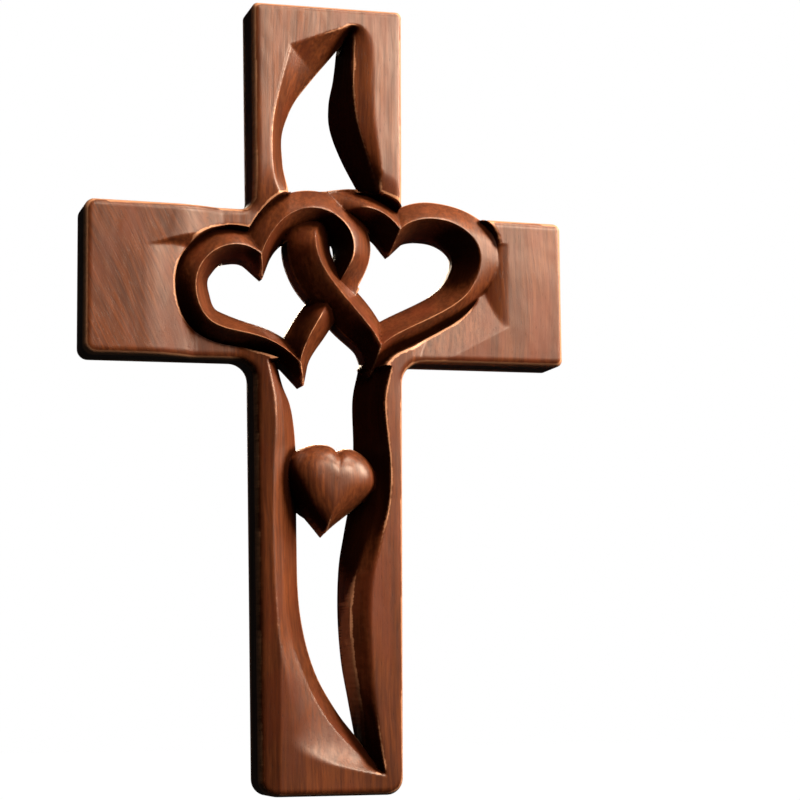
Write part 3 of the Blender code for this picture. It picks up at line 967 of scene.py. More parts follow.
def crossings(first: LinkedHeart, second: LinkedHeart) -> tuple[Vector, Vector]:
    """Where the crests of two hearts cross.

    Args:
        first: One heart.
        second: The other heart.

    Returns:
        The upper place and the lower one.
    """
    a = first.crest()
    b = second.crest()
    near = 3.0
    spots: list[Vector] = []
    for i in range(len(a)):
        for j in range(len(b)):
            if (a[i] - b[j]).length > near:
                continue
            spot = intersect_line_line_2d(a[i - 1], a[i], b[j - 1], b[j])
            if spot is not None and all((spot - other).length > near for other in spots):
                spots.append(spot)
    spots.sort(key=lambda spot: -spot.y)
    return spots[0], spots[1]


@dataclass(frozen=True)
class SmallHeart:
    """The small pillowed heart that bridges the lower opening."""

    board: Board
    width: float = 35.5
    middle: tuple[float, float] = (1.3, 115.5)
    lean: float = 9.0
    proud: float = 3.36
    belly_share: float = 0.42
    notch: float = 0.375
    tip: float = -0.560
    left: tuple[float, ...] = (0.500, -0.275, 0.10, 0.15, 0.285, 0.22, 0.17, 0.15)
    right: tuple[float, ...] = (0.500, -0.275, 0.10, 0.15, 0.285, 0.18, 0.085, 0.17)
    fullness: float = 0.66
    steps: int = 70

    def centre(self) -> Vector:
        """The place that the pillow draws in to."""
        return Vector(self.middle)

    def belly(self) -> float:
        """How far above the back the heart is widest."""
        return self.belly_share * self.board.thickness

    def outline(self) -> Path:
        """The outline at its widest."""
        lean = math.radians(self.lean)
        along = Vector((math.sin(lean), math.cos(lean)))
        notch = self.centre() + along * self.notch * self.width
        tip = self.centre() + along * self.tip * self.width
        left = heart_side(notch, tip, lean, self.left, self.width, Side.LEFT)
        right = heart_side(notch, tip, lean, self.right, self.width, Side.RIGHT)
        return resample(left, self.steps) + resample(right, self.steps)[-2:0:-1]

    def pillow(self) -> CarvedSurface:
        """The front of the heart, from beyond its outline to its top."""
        centre = self.centre()
        belly = self.belly()
        rise = self.board.thickness + self.proud - belly
        outline = self.outline()
        rows = [[Vector((*centre.lerp(q, 1.05), belly - 4.0)) for q in outline]]
        for i in range(24):
            angle = math.radians(90.0 * i / 24.0)
            draw = math.cos(angle) ** self.fullness
            level = belly + math.sin(angle) * rise
            rows.append([Vector((*centre.lerp(q, draw), level)) for q in outline])
        rows.append([Vector((*centre.lerp(q, 0.001), belly + rise)) for q in outline])
        return CarvedSurface(rows, closed=True)

    def draw_in(self, h: float) -> float:
        """How far the heart has drawn in at a height below its belly, as a share of its outline."""
        belly = self.belly()
        sine = min(max((belly - h) / belly, 0.0), 0.9)
        return max(math.cos(math.asin(sine)) ** 0.9, 0.82)


# ------------------------------------------------------------------------------------------------
# Finish, with painted shade in the hollows and painted highlight on the crests
# ------------------------------------------------------------------------------------------------


class NodeBench:
    """A few short ways to lay shader nodes."""

    def __init__(self, tree: bpy.types.NodeTree) -> None:
        """Work on one node tree.

        Args:
            tree: The tree that nodes are added to.
        """
        self.tree = tree

    def put(self, kind: str, **settings: object) -> bpy.types.Node:
        """Add a node and set its properties."""
        node = self.tree.nodes.new(kind)
        for name, value in settings.items():
            setattr(node, name, value)
        return node

    def feed(self, socket: bpy.types.NodeSocket, value: object) -> None:
        """Link a socket to an output, or set its constant."""
        if isinstance(value, bpy.types.NodeSocket):
            self.tree.links.new(value, socket)
        else:
            socket.default_value = value

    def sum(self, operation: str, *values: object) -> bpy.types.NodeSocket:
        """Work one number out of others."""
        node = self.put("ShaderNodeMath", operation=operation)
        for socket, value in zip(node.inputs, values):
            self.feed(socket, value)
        return node.outputs[0]

    def point(self, x: object, y: object, z: object) -> bpy.types.NodeSocket:
        """Join three numbers into a place."""
        node = self.put("ShaderNodeCombineXYZ")
        for socket, value in zip(node.inputs, (x, y, z)):
            self.feed(socket, value)
        return node.outputs[0]

    def cloud(self, place: tuple[object, object, object], scales: tuple[float, float, float],
              detail: float = 2.0, roughness: float = 0.5) -> bpy.types.NodeSocket:
        """Noise between 0 and 1, one blotch to each unit of the place times its scales.

        Args:
            place: The three numbers of the place.
            scales: What each of them is multiplied by.
            detail: How many finer layers of noise it has.
            roughness: How strong the finer layers are.

        Returns:
            The noise.
        """
        node = self.put("ShaderNodeTexNoise")
        scaled = [self.sum("MULTIPLY", part, scale) for part, scale in zip(place, scales)]
        self.feed(node.inputs["Vector"], self.point(*scaled))
        self.feed(node.inputs["Scale"], 1.0)
        self.feed(node.inputs["Detail"], detail)
        self.feed(node.inputs["Roughness"], roughness)
        return node.outputs["Fac"]

    def ramp(self, value: object, low: float, high: float,
             bottom: float = 0.0, top: float = 1.0) -> bpy.types.NodeSocket:
        """Stretch one range of a number over another, smoothly and held at its ends."""
        node = self.put("ShaderNodeMapRange", interpolation_type="SMOOTHSTEP")
        for socket, entry in zip(node.inputs, (value, low, high, bottom, top)):
            self.feed(socket, entry)
        return node.outputs[0]

    def mix(self, share: object, first: object, second: object,
            blend_type: str = "MIX") -> bpy.types.NodeSocket:
        """Mix two colours."""
        node = self.put("ShaderNodeMix", data_type="RGBA", blend_type=blend_type)
        self.feed(node.inputs["Factor"], share)
        self.feed(node.inputs[6], first)
        self.feed(node.inputs[7], second)
        return node.outputs[2]

    def noted(self, name: str) -> bpy.types.NodeSocket:
        """Read a number that is kept at each vertex."""
        node = self.put("ShaderNodeAttribute", attribute_name=name)
        return node.outputs["Fac"]


@dataclass(frozen=True)
class StainedWalnut:
    """Walnut stained dark, with a satin varnish: lengthwise grain and pores, with painted shade in the
    hollows and pale crests that are partly wear, partly painted highlight.
    """

    name: str = "stained_walnut"
    pale: tuple[float, float, float, float] = (0.200, 0.060, 0.021, 1.0)
    dark: tuple[float, float, float, float] = (0.105, 0.027, 0.009, 1.0)
    red: tuple[float, float, float, float] = (0.150, 0.032, 0.010, 1.0)
    # Nearly black: the stain that fills the pores, also used as painted shade in the hollows and on
    # the sides.
    pore_stain_and_shade: tuple[float, float, float, float] = (0.012, 0.0024, 0.0008, 1.0)
    # Pale crest colour: partly rubbed wear, partly a painted highlight along the ridges.
    worn: tuple[float, float, float, float] = (0.780, 0.400, 0.230, 1.0)
    roughness: float = 0.35

    def material(self) -> bpy.types.Material:
        """The finish as a node material."""
        finish = bpy.data.materials.new(self.name)
        finish.use_nodes = True
        bench = NodeBench(finish.node_tree)
        shader = finish.node_tree.nodes["Principled BSDF"]
        where = bench.put("ShaderNodeTexCoord").outputs["Object"]
        apart = bench.put("ShaderNodeSeparateXYZ")
        bench.feed(apart.inputs[0], where)
        x, y, z = (bench.sum("MULTIPLY", apart.outputs[i], 1000.0) for i in range(3))
        slant = bench.ramp(x, -62.0, -34.0, 0.5, 0.0)
        lean = bench.sum("MULTIPLY", slant, bench.sum("ADD", z, 96.0))
        sway = bench.cloud((x, 0.0, z), (0.03, 1.0, 0.012))
        across = bench.sum("ADD", bench.sum("ADD", x, lean), bench.sum("MULTIPLY", sway, 9.0))
        streak = bench.cloud((across, y, z), (0.85, 0.8, 0.045), 4.0, 0.62)
        band = bench.cloud((across, y, z), (0.16, 0.16, 0.012))
        blotch = bench.cloud((x, y, z), (0.07, 0.07, 0.04), 3.0, 0.6)
        pore = bench.cloud((across, y, z), (3.4, 3.4, 0.32), 2.0, 0.6)
        pores = bench.ramp(pore, 0.60, 0.72)
        colour = bench.mix(bench.ramp(streak, 0.34, 0.66), self.dark, self.pale)
        colour = bench.mix(bench.ramp(blotch, 0.45, 0.66, 0.0, 0.7), colour, self.red)
        shade = bench.ramp(band, 0.32, 0.68, 0.78, 1.16)
        colour = bench.mix(1.0, colour, bench.point(shade, shade, shade), "MULTIPLY")
        colour = bench.mix(bench.sum("MULTIPLY", pores, 0.55), colour, self.pore_stain_and_shade)
        crest, recess_shade = bench.noted("crest"), bench.noted("recess_shade")
        # Pale crests: partly rubbed wear, partly painted highlight.
        colour = bench.mix(bench.ramp(crest, 0.50, 1.0, 0.0, 0.9), colour, self.worn)
        # Painted shade: nearly black in the hollows and on the sides turned from the key lamp.
        colour = bench.mix(bench.ramp(recess_shade, 0.06, 0.44, 0.0, 0.93), colour, self.pore_stain_and_shade)
        bench.feed(shader.inputs["Base Color"], colour)
        rough = bench.sum("ADD", bench.ramp(streak, 0.3, 0.7, self.roughness + 0.06,
                                            self.roughness - 0.03),
                          bench.sum("MULTIPLY", pores, 0.14))
        rough = bench.sum("ADD", rough, bench.ramp(blotch, 0.3, 0.7, -0.03, 0.05))
        bench.feed(shader.inputs["Roughness"], rough)
        relief = bench.sum("SUBTRACT", bench.sum("MULTIPLY", streak, 0.55),
                           bench.sum("MULTIPLY", pores, 0.30))
        bump = bench.put("ShaderNodeBump")
        bench.feed(bump.inputs["Strength"], 0.55)
        bench.feed(bump.inputs["Distance"], 0.00016)
        bench.feed(bump.inputs["Height"], relief)
        bench.feed(shader.inputs["Normal"], bump.outputs["Normal"])
        # Less reflection and less coat where the painted shade lies.
        bench.feed(shader.inputs["Specular IOR Level"],
                   bench.ramp(recess_shade, 0.06, 0.34, 0.5, 0.04))
        bench.feed(shader.inputs["Coat Weight"], bench.ramp(recess_shade, 0.04, 0.22, 0.25, 0.0))
        bench.feed(shader.inputs["Coat Roughness"], 0.30)
        return finish


# ------------------------------------------------------------------------------------------------
# The cross
# ------------------------------------------------------------------------------------------------


@dataclass
class CarvedCross:
    """The whole cross as one carved piece."""

    board: Board = field(default_factory=Board)
    grid: float = 0.6
    guide_step: float = 0.55
    back_bevel: float = 0.5
    ring_slack: float = 0.2
    small_clear: float = 7.0
    crest_bend: float = 0.24
    recess_reach: float = 16.0
    recess_rays: int = 14
    # Painted shade: the way toward the key lamp on the upper right that the shade rays lean.
    shade_light_from: tuple[float, float, float] = (1.02, -0.22, 0.33)
    # The least painted shade given to every steep side.
    wall_shade: float = 0.18
    finish: StainedWalnut = StainedWalnut()

    def __post_init__(self) -> None:
        """Lay the parts of the carving out on the board."""
        self.upper = UpperOpening(self.board)
        self.lower = LowerOpening(self.board)
        self.left = left_heart(self.board)
        self.right = right_heart(self.board)
        self.small = SmallHeart(self.board)
        over, under = crossings(self.left, self.right)
        self.upper_cut = CarvedSurface(self.upper.rows())
        self.lower_cut = CarvedSurface(self.lower.rows())
        self.moats = (self.left.moat(), self.right.moat())
        self.left_band = self.left.band(under)
        self.right_band = self.right.band(over)
        self.pillow = self.small.pillow()
        self.outline = self.board.outline()
        self.daylights = (self.upper.daylight(), self.lower.daylight())
        self.cores = (self.left.ring(Way.OUTWARD, self.left.moat_share),
                      self.right.ring(Way.OUTWARD, self.right.moat_share))
        self.outers = (self.left.ring(Way.OUTWARD), self.right.ring(Way.OUTWARD))
        self.inners = (self.left.ring(Way.INWARD), self.right.ring(Way.INWARD))
        self.small_outline = self.small.outline()

    def solid(self, places: np.ndarray) -> np.ndarray:
        """Which places of the plan have wood behind them."""
        wood = inside(places, self.outline)
        for ring in self.daylights + self.cores:
            wood &= ~inside(places, ring)
        for outer, inner in zip(self.outers, self.inners):
            wood |= inside(places, outer) & ~inside(places, inner)
        return wood | inside(places, self.small_outline)

    def ground(self, places: np.ndarray, bridged: np.ndarray) -> np.ndarray:
        """The height of the board with everything cut into it, before the ridges.

        Args:
            places: The places to give it at.
            bridged: Which places lie under a heart.

        Returns:
            One height for each place.
        """
        front = self.board.heights(places)
        for cut, daylight in zip((self.upper_cut, self.lower_cut), self.daylights):
            level = cut.heights(places, NO_CUT)
            behind = np.zeros(len(places), dtype=bool)
            for shift in (-self.ring_slack, 0.0, self.ring_slack):
                behind |= inside(places + (0.0, shift), daylight)
            level[(level >= NO_CUT) & behind & bridged] = GONE
            front = soft_low(front, level, 0.5)
        filled = self.board.thickness * np.clip(1.0 - self.board.inset(places) / MOAT_FADE, 0.0, 1.0)
        for moat, core in zip(self.moats, self.cores):
            level = np.maximum(moat.heights(places, NO_CUT), filled)
            level[inside(places, core)] = GONE
            front = soft_low(front, level, 0.7)
        front[bridged & ~inside(places, self.outline)] = GONE
        return front

    def layers(self, places: np.ndarray) -> np.ndarray:
        """The heights that vie for the front at each place: the board, the two bands, the pillow."""
        ridges = [ridge.heights(places, NO_RIDGE)
                  for ridge in (self.left_band, self.right_band, self.pillow)]
        return np.stack([self.ground(places, np.max(ridges, axis=0) > NO_RIDGE), *ridges], axis=1)

    def heights(self, places: np.ndarray) -> np.ndarray:
        """The height of the finished front at each place."""
        layers = self.layers(places)
        front = layers[:, 0]
        for ridge in layers[:, 1:].T:
            front = soft_high(front, ridge, 0.25)
        return front

    def settle(self, places: np.ndarray, faces: np.ndarray, fixed: np.ndarray) -> np.ndarray:
        """Move places on to the creases where one layer passes behind another.

        Args:
            places: The places of the plan.
            faces: Its triangles.
            fixed: Which places must stay.

        Returns:
            The places, some of them moved by less than half an edge.
        """
        layers = self.layers(places)
        front = np.argmax(layers, axis=1)
        sides = np.concatenate([faces[:, [0, 1]], faces[:, [1, 2]], faces[:, [2, 0]]])
        sides = np.concatenate([sides, sides[:, ::-1]])
        a, b = sides[:, 0], sides[:, 1]
        here = layers[a, front[a]] - layers[a, front[b]]
        there = layers[b, front[b]] - layers[b, front[a]]
        real = (layers[a, front[b]] > GONE + 1.0) & (layers[b, front[a]] > GONE + 1.0)
        share = here / np.maximum(here + there, 1e-9)
        crossing = (front[a] != front[b]) & real & (share < 0.5) & ~fixed[a]
        a, b, share = a[crossing], b[crossing], share[crossing]
        run = share * np.linalg.norm(places[b] - places[a], axis=1)
        moved = places.copy()
        order = np.argsort(-run)
        moved[a[order]] = places[a[order]] + share[order, None] * (places[b[order]] - places[a[order]])
        for _ in range(6):
            corners = moved[faces]
            one, two = corners[:, 1] - corners[:, 0], corners[:, 2] - corners[:, 0]
            crushed = faces[one[:, 0] * two[:, 1] - one[:, 1] * two[:, 0] < 0.02]
            moved[crushed] = places[crushed]
        return moved

    def ripple(self, places: np.ndarray) -> np.ndarray:
        """The slight waviness that hand tools leave."""
        wave = np.empty(len(places))
        for k, (x, z) in enumerate(places):
            wave[k] = (0.09 * noise.noise(Vector((x / 7.0, z / 16.0, 1.7)))
                       + 0.04 * noise.noise(Vector((x / 2.6, z / 6.0, 5.3))))
        return wave

    def groove(self, heart: LinkedHeart, band: CarvedSurface, moat: CarvedSurface) -> Path:
        """The line at the foot of a heart, where its band meets the cut beside it."""
        line: Path = []
        high = heart.ring(Way.OUTWARD, 1.0, heart.moat_reach)
        shares = np.linspace(0.4, 1.0, 60)
        for top, end in zip(heart.crest(), high):
            spots = np.array([tuple(top.lerp(end, share)) for share in shares])
            cut = moat.heights(spots, NO_CUT)
            gap = band.heights(spots, NO_RIDGE) - cut
            gap[cut > NO_CUT - 1.0] = 1.0
            below = np.flatnonzero(gap < 0.0)
            if len(below) and below[0] > 0:
                line.append(Vector(spots[below[0]]))
        return line + line[:1]

    def rim(self, heart: LinkedHeart, moat: CarvedSurface) -> Path:
        """The line at the top of the cut beside a heart, where it leaves the board."""
        line: Path = []
        low = heart.ring(Way.OUTWARD, heart.moat_share)
        high = heart.ring(Way.OUTWARD, 1.0, heart.moat_reach)
        shares = np.linspace(0.0, 1.2, 50)
        for start, end in zip(low, high):
            spots = np.array([tuple(start.lerp(end, share)) for share in shares])
            above = np.flatnonzero(moat.heights(spots, NO_CUT) > self.board.heights(spots))
            if len(above) and above[0] > 0:
                line.append(Vector(spots[above[0]]))
        return line + line[:1]

    def guides(self) -> list[Path]:
        """Every line that the mesh has to follow, as open paths."""
        rings = [self.outline, *self.daylights, *self.outers, *self.inners, self.small_outline]
        lines = [ring + ring[:1] for ring in rings]
        for part in (self.upper, self.lower, self.left, self.right):
            lines += part.guides()
        hearts = (self.left, self.right)
        bands = (self.left_band, self.right_band)
        lines += [self.groove(*parts) for parts in zip(hearts, bands, self.moats)]
        lines += [self.rim(*parts) for parts in zip(hearts, self.moats)]
        return [spaced(line, self.guide_step) for line in lines]

    def plan(self) -> tuple[np.ndarray, list[tuple[int, int, int]]]:
        """The triangles of the plan.

        Returns:
            The places, and the triangles that have wood behind them.
        """
        points: Path = []
        edges = []
        for line in self.guides():
            start = len(points)
            points += line
            edges += [(start + i, start + i + 1) for i in range(len(line) - 1)]
        middles = [points[a].lerp(points[b], 0.5) for a, b in edges]
        tree = tree_of(dict(enumerate(points + middles)))
        half = 0.5 * self.board.arm_span
        rise = self.grid * math.sqrt(0.75)
        grid = []
        for row in range(int(self.board.height / rise)):
            shift = 0.5 * self.grid * (row % 2)
            for column in range(int(2.0 * half / self.grid)):
                grid.append((-half + shift + column * self.grid, row * rise))
        places = np.array(grid)
        places = places[self.solid(places)]
        spare = 0.62 * self.grid
        for x, z in places:
            if tree.find((x, z, 0.0))[2] > spare:
                points.append(Vector((x, z)))
        made = delaunay_2d_cdt(points, edges, [], 0, 0.004)
        spots = np.array([(p.x, p.y) for p in made[0]])
        faces = np.array([tuple(f) for f in made[2]])
        fences = {edge for edge, olds in zip(made[1], made[4]) if olds}
        kept = faces[self.bridge_pinches(spots, faces, self.wooden(spots, faces, fences))]
        fixed = np.zeros(len(spots), dtype=bool)
        fixed[np.unique(np.array(list(fences)))] = True
        spots = self.settle(spots, kept, fixed)
        used = np.unique(kept)
        renamed = np.full(len(spots), -1)
        renamed[used] = np.arange(len(used))
        return spots[used], [tuple(f) for f in renamed[kept].tolist()]

    def wooden(self, spots: np.ndarray, faces: np.ndarray,
               fences: set[tuple[int, int]]) -> np.ndarray:
        """Which triangles of the plan are wood, field by field.

        Args:
            spots: The places of the plan.
            faces: Its triangles.
            fences: The edges that part one field from the next.

        Returns:
            True for each triangle of a field that is wood.
        """
        beside_edge = neighbours(faces)
        field_of = np.full(len(faces), -1)
        fields = 0
        for start in range(len(faces)):
            if field_of[start] >= 0:
                continue
            field_of[start] = fields
            waiting = [start]
            while waiting:
                a, b, c = faces[waiting.pop()].tolist()
                for edge in ((a, b), (b, c), (c, a)):
                    other = beside_edge.get((edge[1], edge[0]), -1)
                    if other < 0 or field_of[other] >= 0:
                        continue
                    if edge not in fences and (edge[1], edge[0]) not in fences:
                        field_of[other] = fields
                        waiting.append(other)
            fields += 1
        corners = spots[faces]
        one, two = corners[:, 1] - corners[:, 0], corners[:, 2] - corners[:, 0]
        area = 0.5 * np.abs(one[:, 0] * two[:, 1] - one[:, 1] * two[:, 0])
        filled = np.bincount(field_of, weights=area * self.solid(corners.mean(axis=1)),
                             minlength=fields)
        whole = np.bincount(field_of, weights=area, minlength=fields)
        wood = filled > 0.5 * whole
        for tiny in np.flatnonzero(whole < 0.01):
            beyond = []
            for number in np.flatnonzero(field_of == tiny):
                a, b, c = faces[number].tolist()
                beyond += [beside_edge.get(edge, -1) for edge in ((b, a), (c, b), (a, c))]
            wood[tiny] = all(other >= 0 and (field_of[other] == tiny or wood[field_of[other]])
                             for other in beyond)
        return wood[field_of]

    @staticmethod
    def bridge_pinches(spots: np.ndarray, faces: np.ndarray, wood: np.ndarray) -> np.ndarray:
        """Fill the small gaps round a place where two pieces of rim would touch.

        Args:
            spots: The places of the plan.
            faces: Its triangles.
            wood: Which triangles are wood.

        Returns:
            Which triangles are wood once no two pieces of rim touch.
        """
        round_place: dict[int, list[int]] = {}
        for number, face in enumerate(faces.tolist()):
            for k in face:
                round_place.setdefault(k, []).append(number)
        size = np.linalg.norm(spots[faces] - spots[np.roll(faces, 1, axis=1)], axis=2).max(axis=1)
        for _ in range(4):
            kept = neighbours(faces[wood])
            leaving: dict[int, int] = {}
            for a, b in kept:
                if (b, a) not in kept:
                    leaving[a] = leaving.get(a, 0) + 1
            pinched = [k for k, count in leaving.items() if count > 1]
            if not pinched:
                break
            for k in pinched:
                gaps = [number for number in round_place[k] if not wood[number]]
                gaps.sort(key=lambda number: size[number])
                wood[gaps[:max(1, len(gaps) // 2)]] = True
        return wood

    def build(self) -> bpy.types.Object:
        """Carve the cross as one closed mesh.

        Returns:
            The piece.
        """
        places, faces = self.plan()
        LOG.info("plan: %d places, %d triangles", len(places), len(faces))
        level = np.clip(self.heights(places) + self.ripple(places), THINNEST, None)
        seen: dict[tuple[int, int], int] = {}
        for a, b, c in faces:
            for edge in ((a, b), (b, c), (c, a)):
                seen[edge] = seen.get(edge, 0) + 1
        rim = [edge for edge in seen if (edge[1], edge[0]) not in seen]
        LOG.info("rim: %d edges", len(rim))
        verts = [self.board.place(x, z, h) for (x, z), h in zip(places.tolist(), level.tolist())]
        away: dict[int, Vector] = {}
        for a, b in rim:
            side = Vector((places[b][1] - places[a][1], places[a][0] - places[b][0])).normalized()
            for k in (a, b):
                away[k] = away.get(k, Vector((0.0, 0.0))) + side
        walls: dict[int, list[int]] = {}
        back_of: dict[int, tuple[float, float]] = {}
        foot_of: dict[int, Vector] = {}
        centre = self.small.centre()
        on_small = self.on_small_heart(places, list(away))
        for k in away:
            ids = [k]
            for share in WALL_SHARES:
                depth = self.back_bevel + (float(level[k]) - self.back_bevel) * share
                spot = Vector(places[k])
                if k in on_small:
                    drawn = 1.0 - (1.0 - self.small.draw_in(depth)) * on_small[k]
                    spot = centre.lerp(spot, drawn)
                ids.append(len(verts))
                verts.append(self.board.place(spot.x, spot.y, depth))
            foot_of[k] = spot
            walls[k] = ids
        tree = tree_of(foot_of)
        for k, spot in foot_of.items():
            for share in (1.0, 0.5, 0.2, 0.06):
                reach = self.back_bevel * share
                moved = spot - away[k].normalized() * reach
                if tree.find((moved.x, moved.y, 0.0))[2] > 0.93 * reach:
                    break
            back_of[k] = (moved.x, moved.y)
        polygons: list[tuple[int, ...]] = list(faces)
        for a, b in rim:
            low, high = walls[a], walls[b]
            for i in range(len(low) - 1):
                polygons.append((high[i], low[i], low[i + 1], high[i + 1]))
        self.close_back(rim, walls, back_of, verts, polygons)
        mesh = bpy.data.meshes.new("carved_walnut_cross")
        mesh.from_pydata(verts, [], polygons)
        piece = bpy.data.objects.new("carved_walnut_cross", mesh)
        bpy.context.scene.collection.objects.link(piece)
        self.tidy(mesh)
        self.note_wear_and_shade(mesh)
        return piece

    def on_small_heart(self, places: np.ndarray, rim: list[int]) -> dict[int, float]:
        """Which places of the rim lie on the small heart alone.

        Args:
            places: The places of the plan.
            rim: The numbers of those on the rim.

        Returns:
            For each such place, from 0 beside the strips to 1 well clear of them.
        """
        ring = spaced(self.small_outline + self.small_outline[:1], 0.2)
        tree = tree_of(dict(enumerate(ring)))
        near = {k: tree.find((*places[k], 0.0))[2] < 0.15 for k in rim}
        others = tree_of({k: places[k] for k in rim if not near[k]})
        clear = {}
        for k in rim:
            if near[k]:
                gap = others.find((*places[k], 0.0))[2]
                clear[k] = smooth(min(gap / self.small_clear, 1.0))
        return clear

    def close_back(self, rim: list[tuple[int, int]], walls: dict[int, list[int]],
                   back_of: dict[int, tuple[float, float]], verts: list[tuple[float, ...]],
                   polygons: list[tuple[int, ...]]) -> None:
        """Close the flat back, with the blind hole that the cross hangs by.

        Args:
            rim: The edges of the front surface.
            walls: The column of vertices below each place of the rim.
            back_of: The place of each column in the back.
            verts: The vertices so far, added to.
            polygons: The faces so far, added to.
        """
        keys = list(back_of)
        order = {k: i for i, k in enumerate(keys)}
        points = [Vector(back_of[k]) for k in keys]
        edges = [(order[a], order[b]) for a, b in rim]
        hole = Vector((0.0, self.board.height - self.board.hole_drop))
        radius = 0.5 * self.board.hole_width
        first = len(points)
        around = 28
        for i in range(around):
            angle = 2.0 * math.pi * i / around
            points.append(hole + radius * Vector((math.cos(angle), math.sin(angle))))
            edges.append((first + (i + 1) % around, first + i))
        made = delaunay_2d_cdt(points, edges, [], 0, 0.0005)
        spots = np.array([(p.x, p.y) for p in made[0]])
        at: dict[int, int] = {}
        for new, olds in enumerate(made[3]):
            x, z = spots[new]
            at[new] = len(verts)
            verts.append(self.board.place(float(x), float(z), 0.0))
            for old in olds:
                if old < first:
                    walls[keys[old]].append(at[new])
        for face in self.within(points, edges, made):
            polygons.append(tuple(at[i] for i in reversed(face)))
        foot = len(WALL_SHARES)
        for a, b in rim:
            low, high = walls[a], walls[b]
            if min(len(low), len(high)) > foot + 1:
                polygons.append((high[foot], low[foot], low[foot + 1], high[foot + 1]))
        mouth = [new for new, olds in enumerate(made[3]) if any(old >= first for old in olds)]
        mouth.sort(key=lambda new: math.atan2(spots[new][1] - hole.y, spots[new][0] - hole.x))
        deep = []
        for new in mouth:
            deep.append(len(verts))
            x, z = spots[new]
            verts.append(self.board.place(float(x), float(z), self.board.hole_depth))
        for i in range(len(mouth)):
            j = (i + 1) % len(mouth)
            polygons.append((at[mouth[i]], at[mouth[j]], deep[j], deep[i]))
        polygons.append(tuple(deep))

    @staticmethod
    def within(points: Path, edges: list[tuple[int, int]], made: tuple) -> list[list[int]]:
        """Pick the triangles that the rims enclose.

        Args:
            points: The places that were joined.
            edges: The rims, each edge with the wood on its left.
            made: What the triangulation gave.

        Returns:
            The triangles with wood behind them.
        """
        spots, lines, faces, _, line_from, _ = made
        beside_edge = neighbours(np.array([tuple(face) for face in faces]))
        crossed: dict[tuple[int, int], int] = {}
        for (a, b), olds in zip(lines, line_from):
            along = spots[b] - spots[a]
            net = 0
            for old in olds:
                start, end = edges[old]
                net += 1 if along.dot(points[end] - points[start]) > 0.0 else -1
            crossed[(a, b)] = net
            crossed[(b, a)] = -net
        turns: dict[int, int] = {}
        waiting = []
        for (a, b), number in beside_edge.items():
            if (b, a) not in beside_edge and number not in turns:
                turns[number] = crossed.get((a, b), 0)
                waiting.append(number)
        while waiting:
            number = waiting.pop()
            a, b, c = faces[number]
            for a, b in ((a, b), (b, c), (c, a)):
                other = beside_edge.get((b, a))
                if other is not None and other not in turns:
                    turns[other] = turns[number] + crossed.get((b, a), 0)
                    waiting.append(other)
        return [face for number, face in enumerate(faces) if turns.get(number, 0) > 0]

    def tidy(self, mesh: bpy.types.Mesh) -> None:
        """Weld the mesh, turn its faces outward and keep its hard edges hard."""
        builder = bmesh.new()
        builder.from_mesh(mesh)
        bmesh.ops.remove_doubles(builder, verts=builder.verts, dist=0.000004)
        bmesh.ops.recalc_face_normals(builder, faces=builder.faces)
        loose = sum(1 for edge in builder.edges if len(edge.link_faces) != 2)
        LOG.info("mesh: %d faces, %d edges without two faces", len(builder.faces), loose)
        builder.to_mesh(mesh)
        builder.free()
        mesh.shade_smooth()
        mesh.set_sharp_from_angle(angle=math.radians(SHARP_ANGLE))

    def note_wear_and_shade(self, mesh: bpy.types.Mesh) -> None:
        """Keep at each vertex how hidden it lies and how sharply the wood bends there.

        The rays that feel for what hides a place lean toward the key lamp on the upper right, where
        the surface faces the front, so the hidden share, kept as painted shade, falls most on the
        sides turned from that light. The bend gives the pale crests, partly wear and partly painted
        highlight.

        Args:
            mesh: The finished mesh, which gets the numbers "recess" and "crest".
        """
        count = len(mesh.vertices)
        spots = read_rows(mesh.vertices, "co", 3)
        outward = read_rows(mesh.vertex_normals, "vector", 3)
        ends = read_rows(mesh.edges, "vertices", 2, np.int64)
        links = np.maximum(np.bincount(ends.ravel(), minlength=count), 1)

        def spread(values: np.ndarray, times: int) -> np.ndarray:
            """Average each number with those of its neighbours, a few times over."""
            for _ in range(times):
                total = np.bincount(ends[:, 0], weights=values[ends[:, 1]], minlength=count)
                total += np.bincount(ends[:, 1], weights=values[ends[:, 0]], minlength=count)
                values = 0.5 * values + 0.5 * total / links
            return values

        middle = np.stack([spread(spots[:, i], 3) for i in range(3)], axis=1)
        bend = np.einsum("ij,ij->i", spots - middle, outward) / MM
        crest = np.clip(spread(bend, 1) / self.crest_bend, 0.0, 1.0)
        tree = BVHTree.FromPolygons([tuple(spot) for spot in spots.tolist()],
                                    [tuple(face.vertices) for face in mesh.polygons])
        reach = self.recess_reach * MM
        hidden = np.zeros(count)
        rays = self.recess_rays
        fan = [(math.sqrt((i + 0.5) / rays), GOLDEN_TURN * i) for i in range(rays)]
        for k in range(count):
            normal = Vector(outward[k])
            first = normal.orthogonal().normalized()
            second = normal.cross(first)
            start = Vector(spots[k]) + normal * 0.05 * MM
            # The lean toward the key lamp puts the painted shade on the sides turned from it.
            lean = Vector(self.shade_light_from) * min(max(-3.0 * normal.y, 0.0), 1.0)
            for out, angle in fan:
                turn = angle + 0.7 * k
                ray = (first * (out * math.cos(turn)) + second * (out * math.sin(turn))
                       + normal * math.sqrt(1.0 - out * out) + lean)
                gap = tree.ray_cast(start, ray.normalized(), reach)[3]
                if gap is not None:
                    hidden[k] += 1.0 - gap / reach
        # Steep sides get at least a little painted shade.
        steep = np.clip(1.0 - np.abs(outward[:, 1]) / 0.5, 0.0, 1.0)
        hidden = np.maximum(spread(hidden / rays, 2), self.wall_shade * steep)
        for name, values in (("crest", crest), ("recess_shade", hidden)):
            kept = mesh.attributes.new(name, "FLOAT", "POINT")
            kept.data.foreach_set("value", values.astype(np.float32))

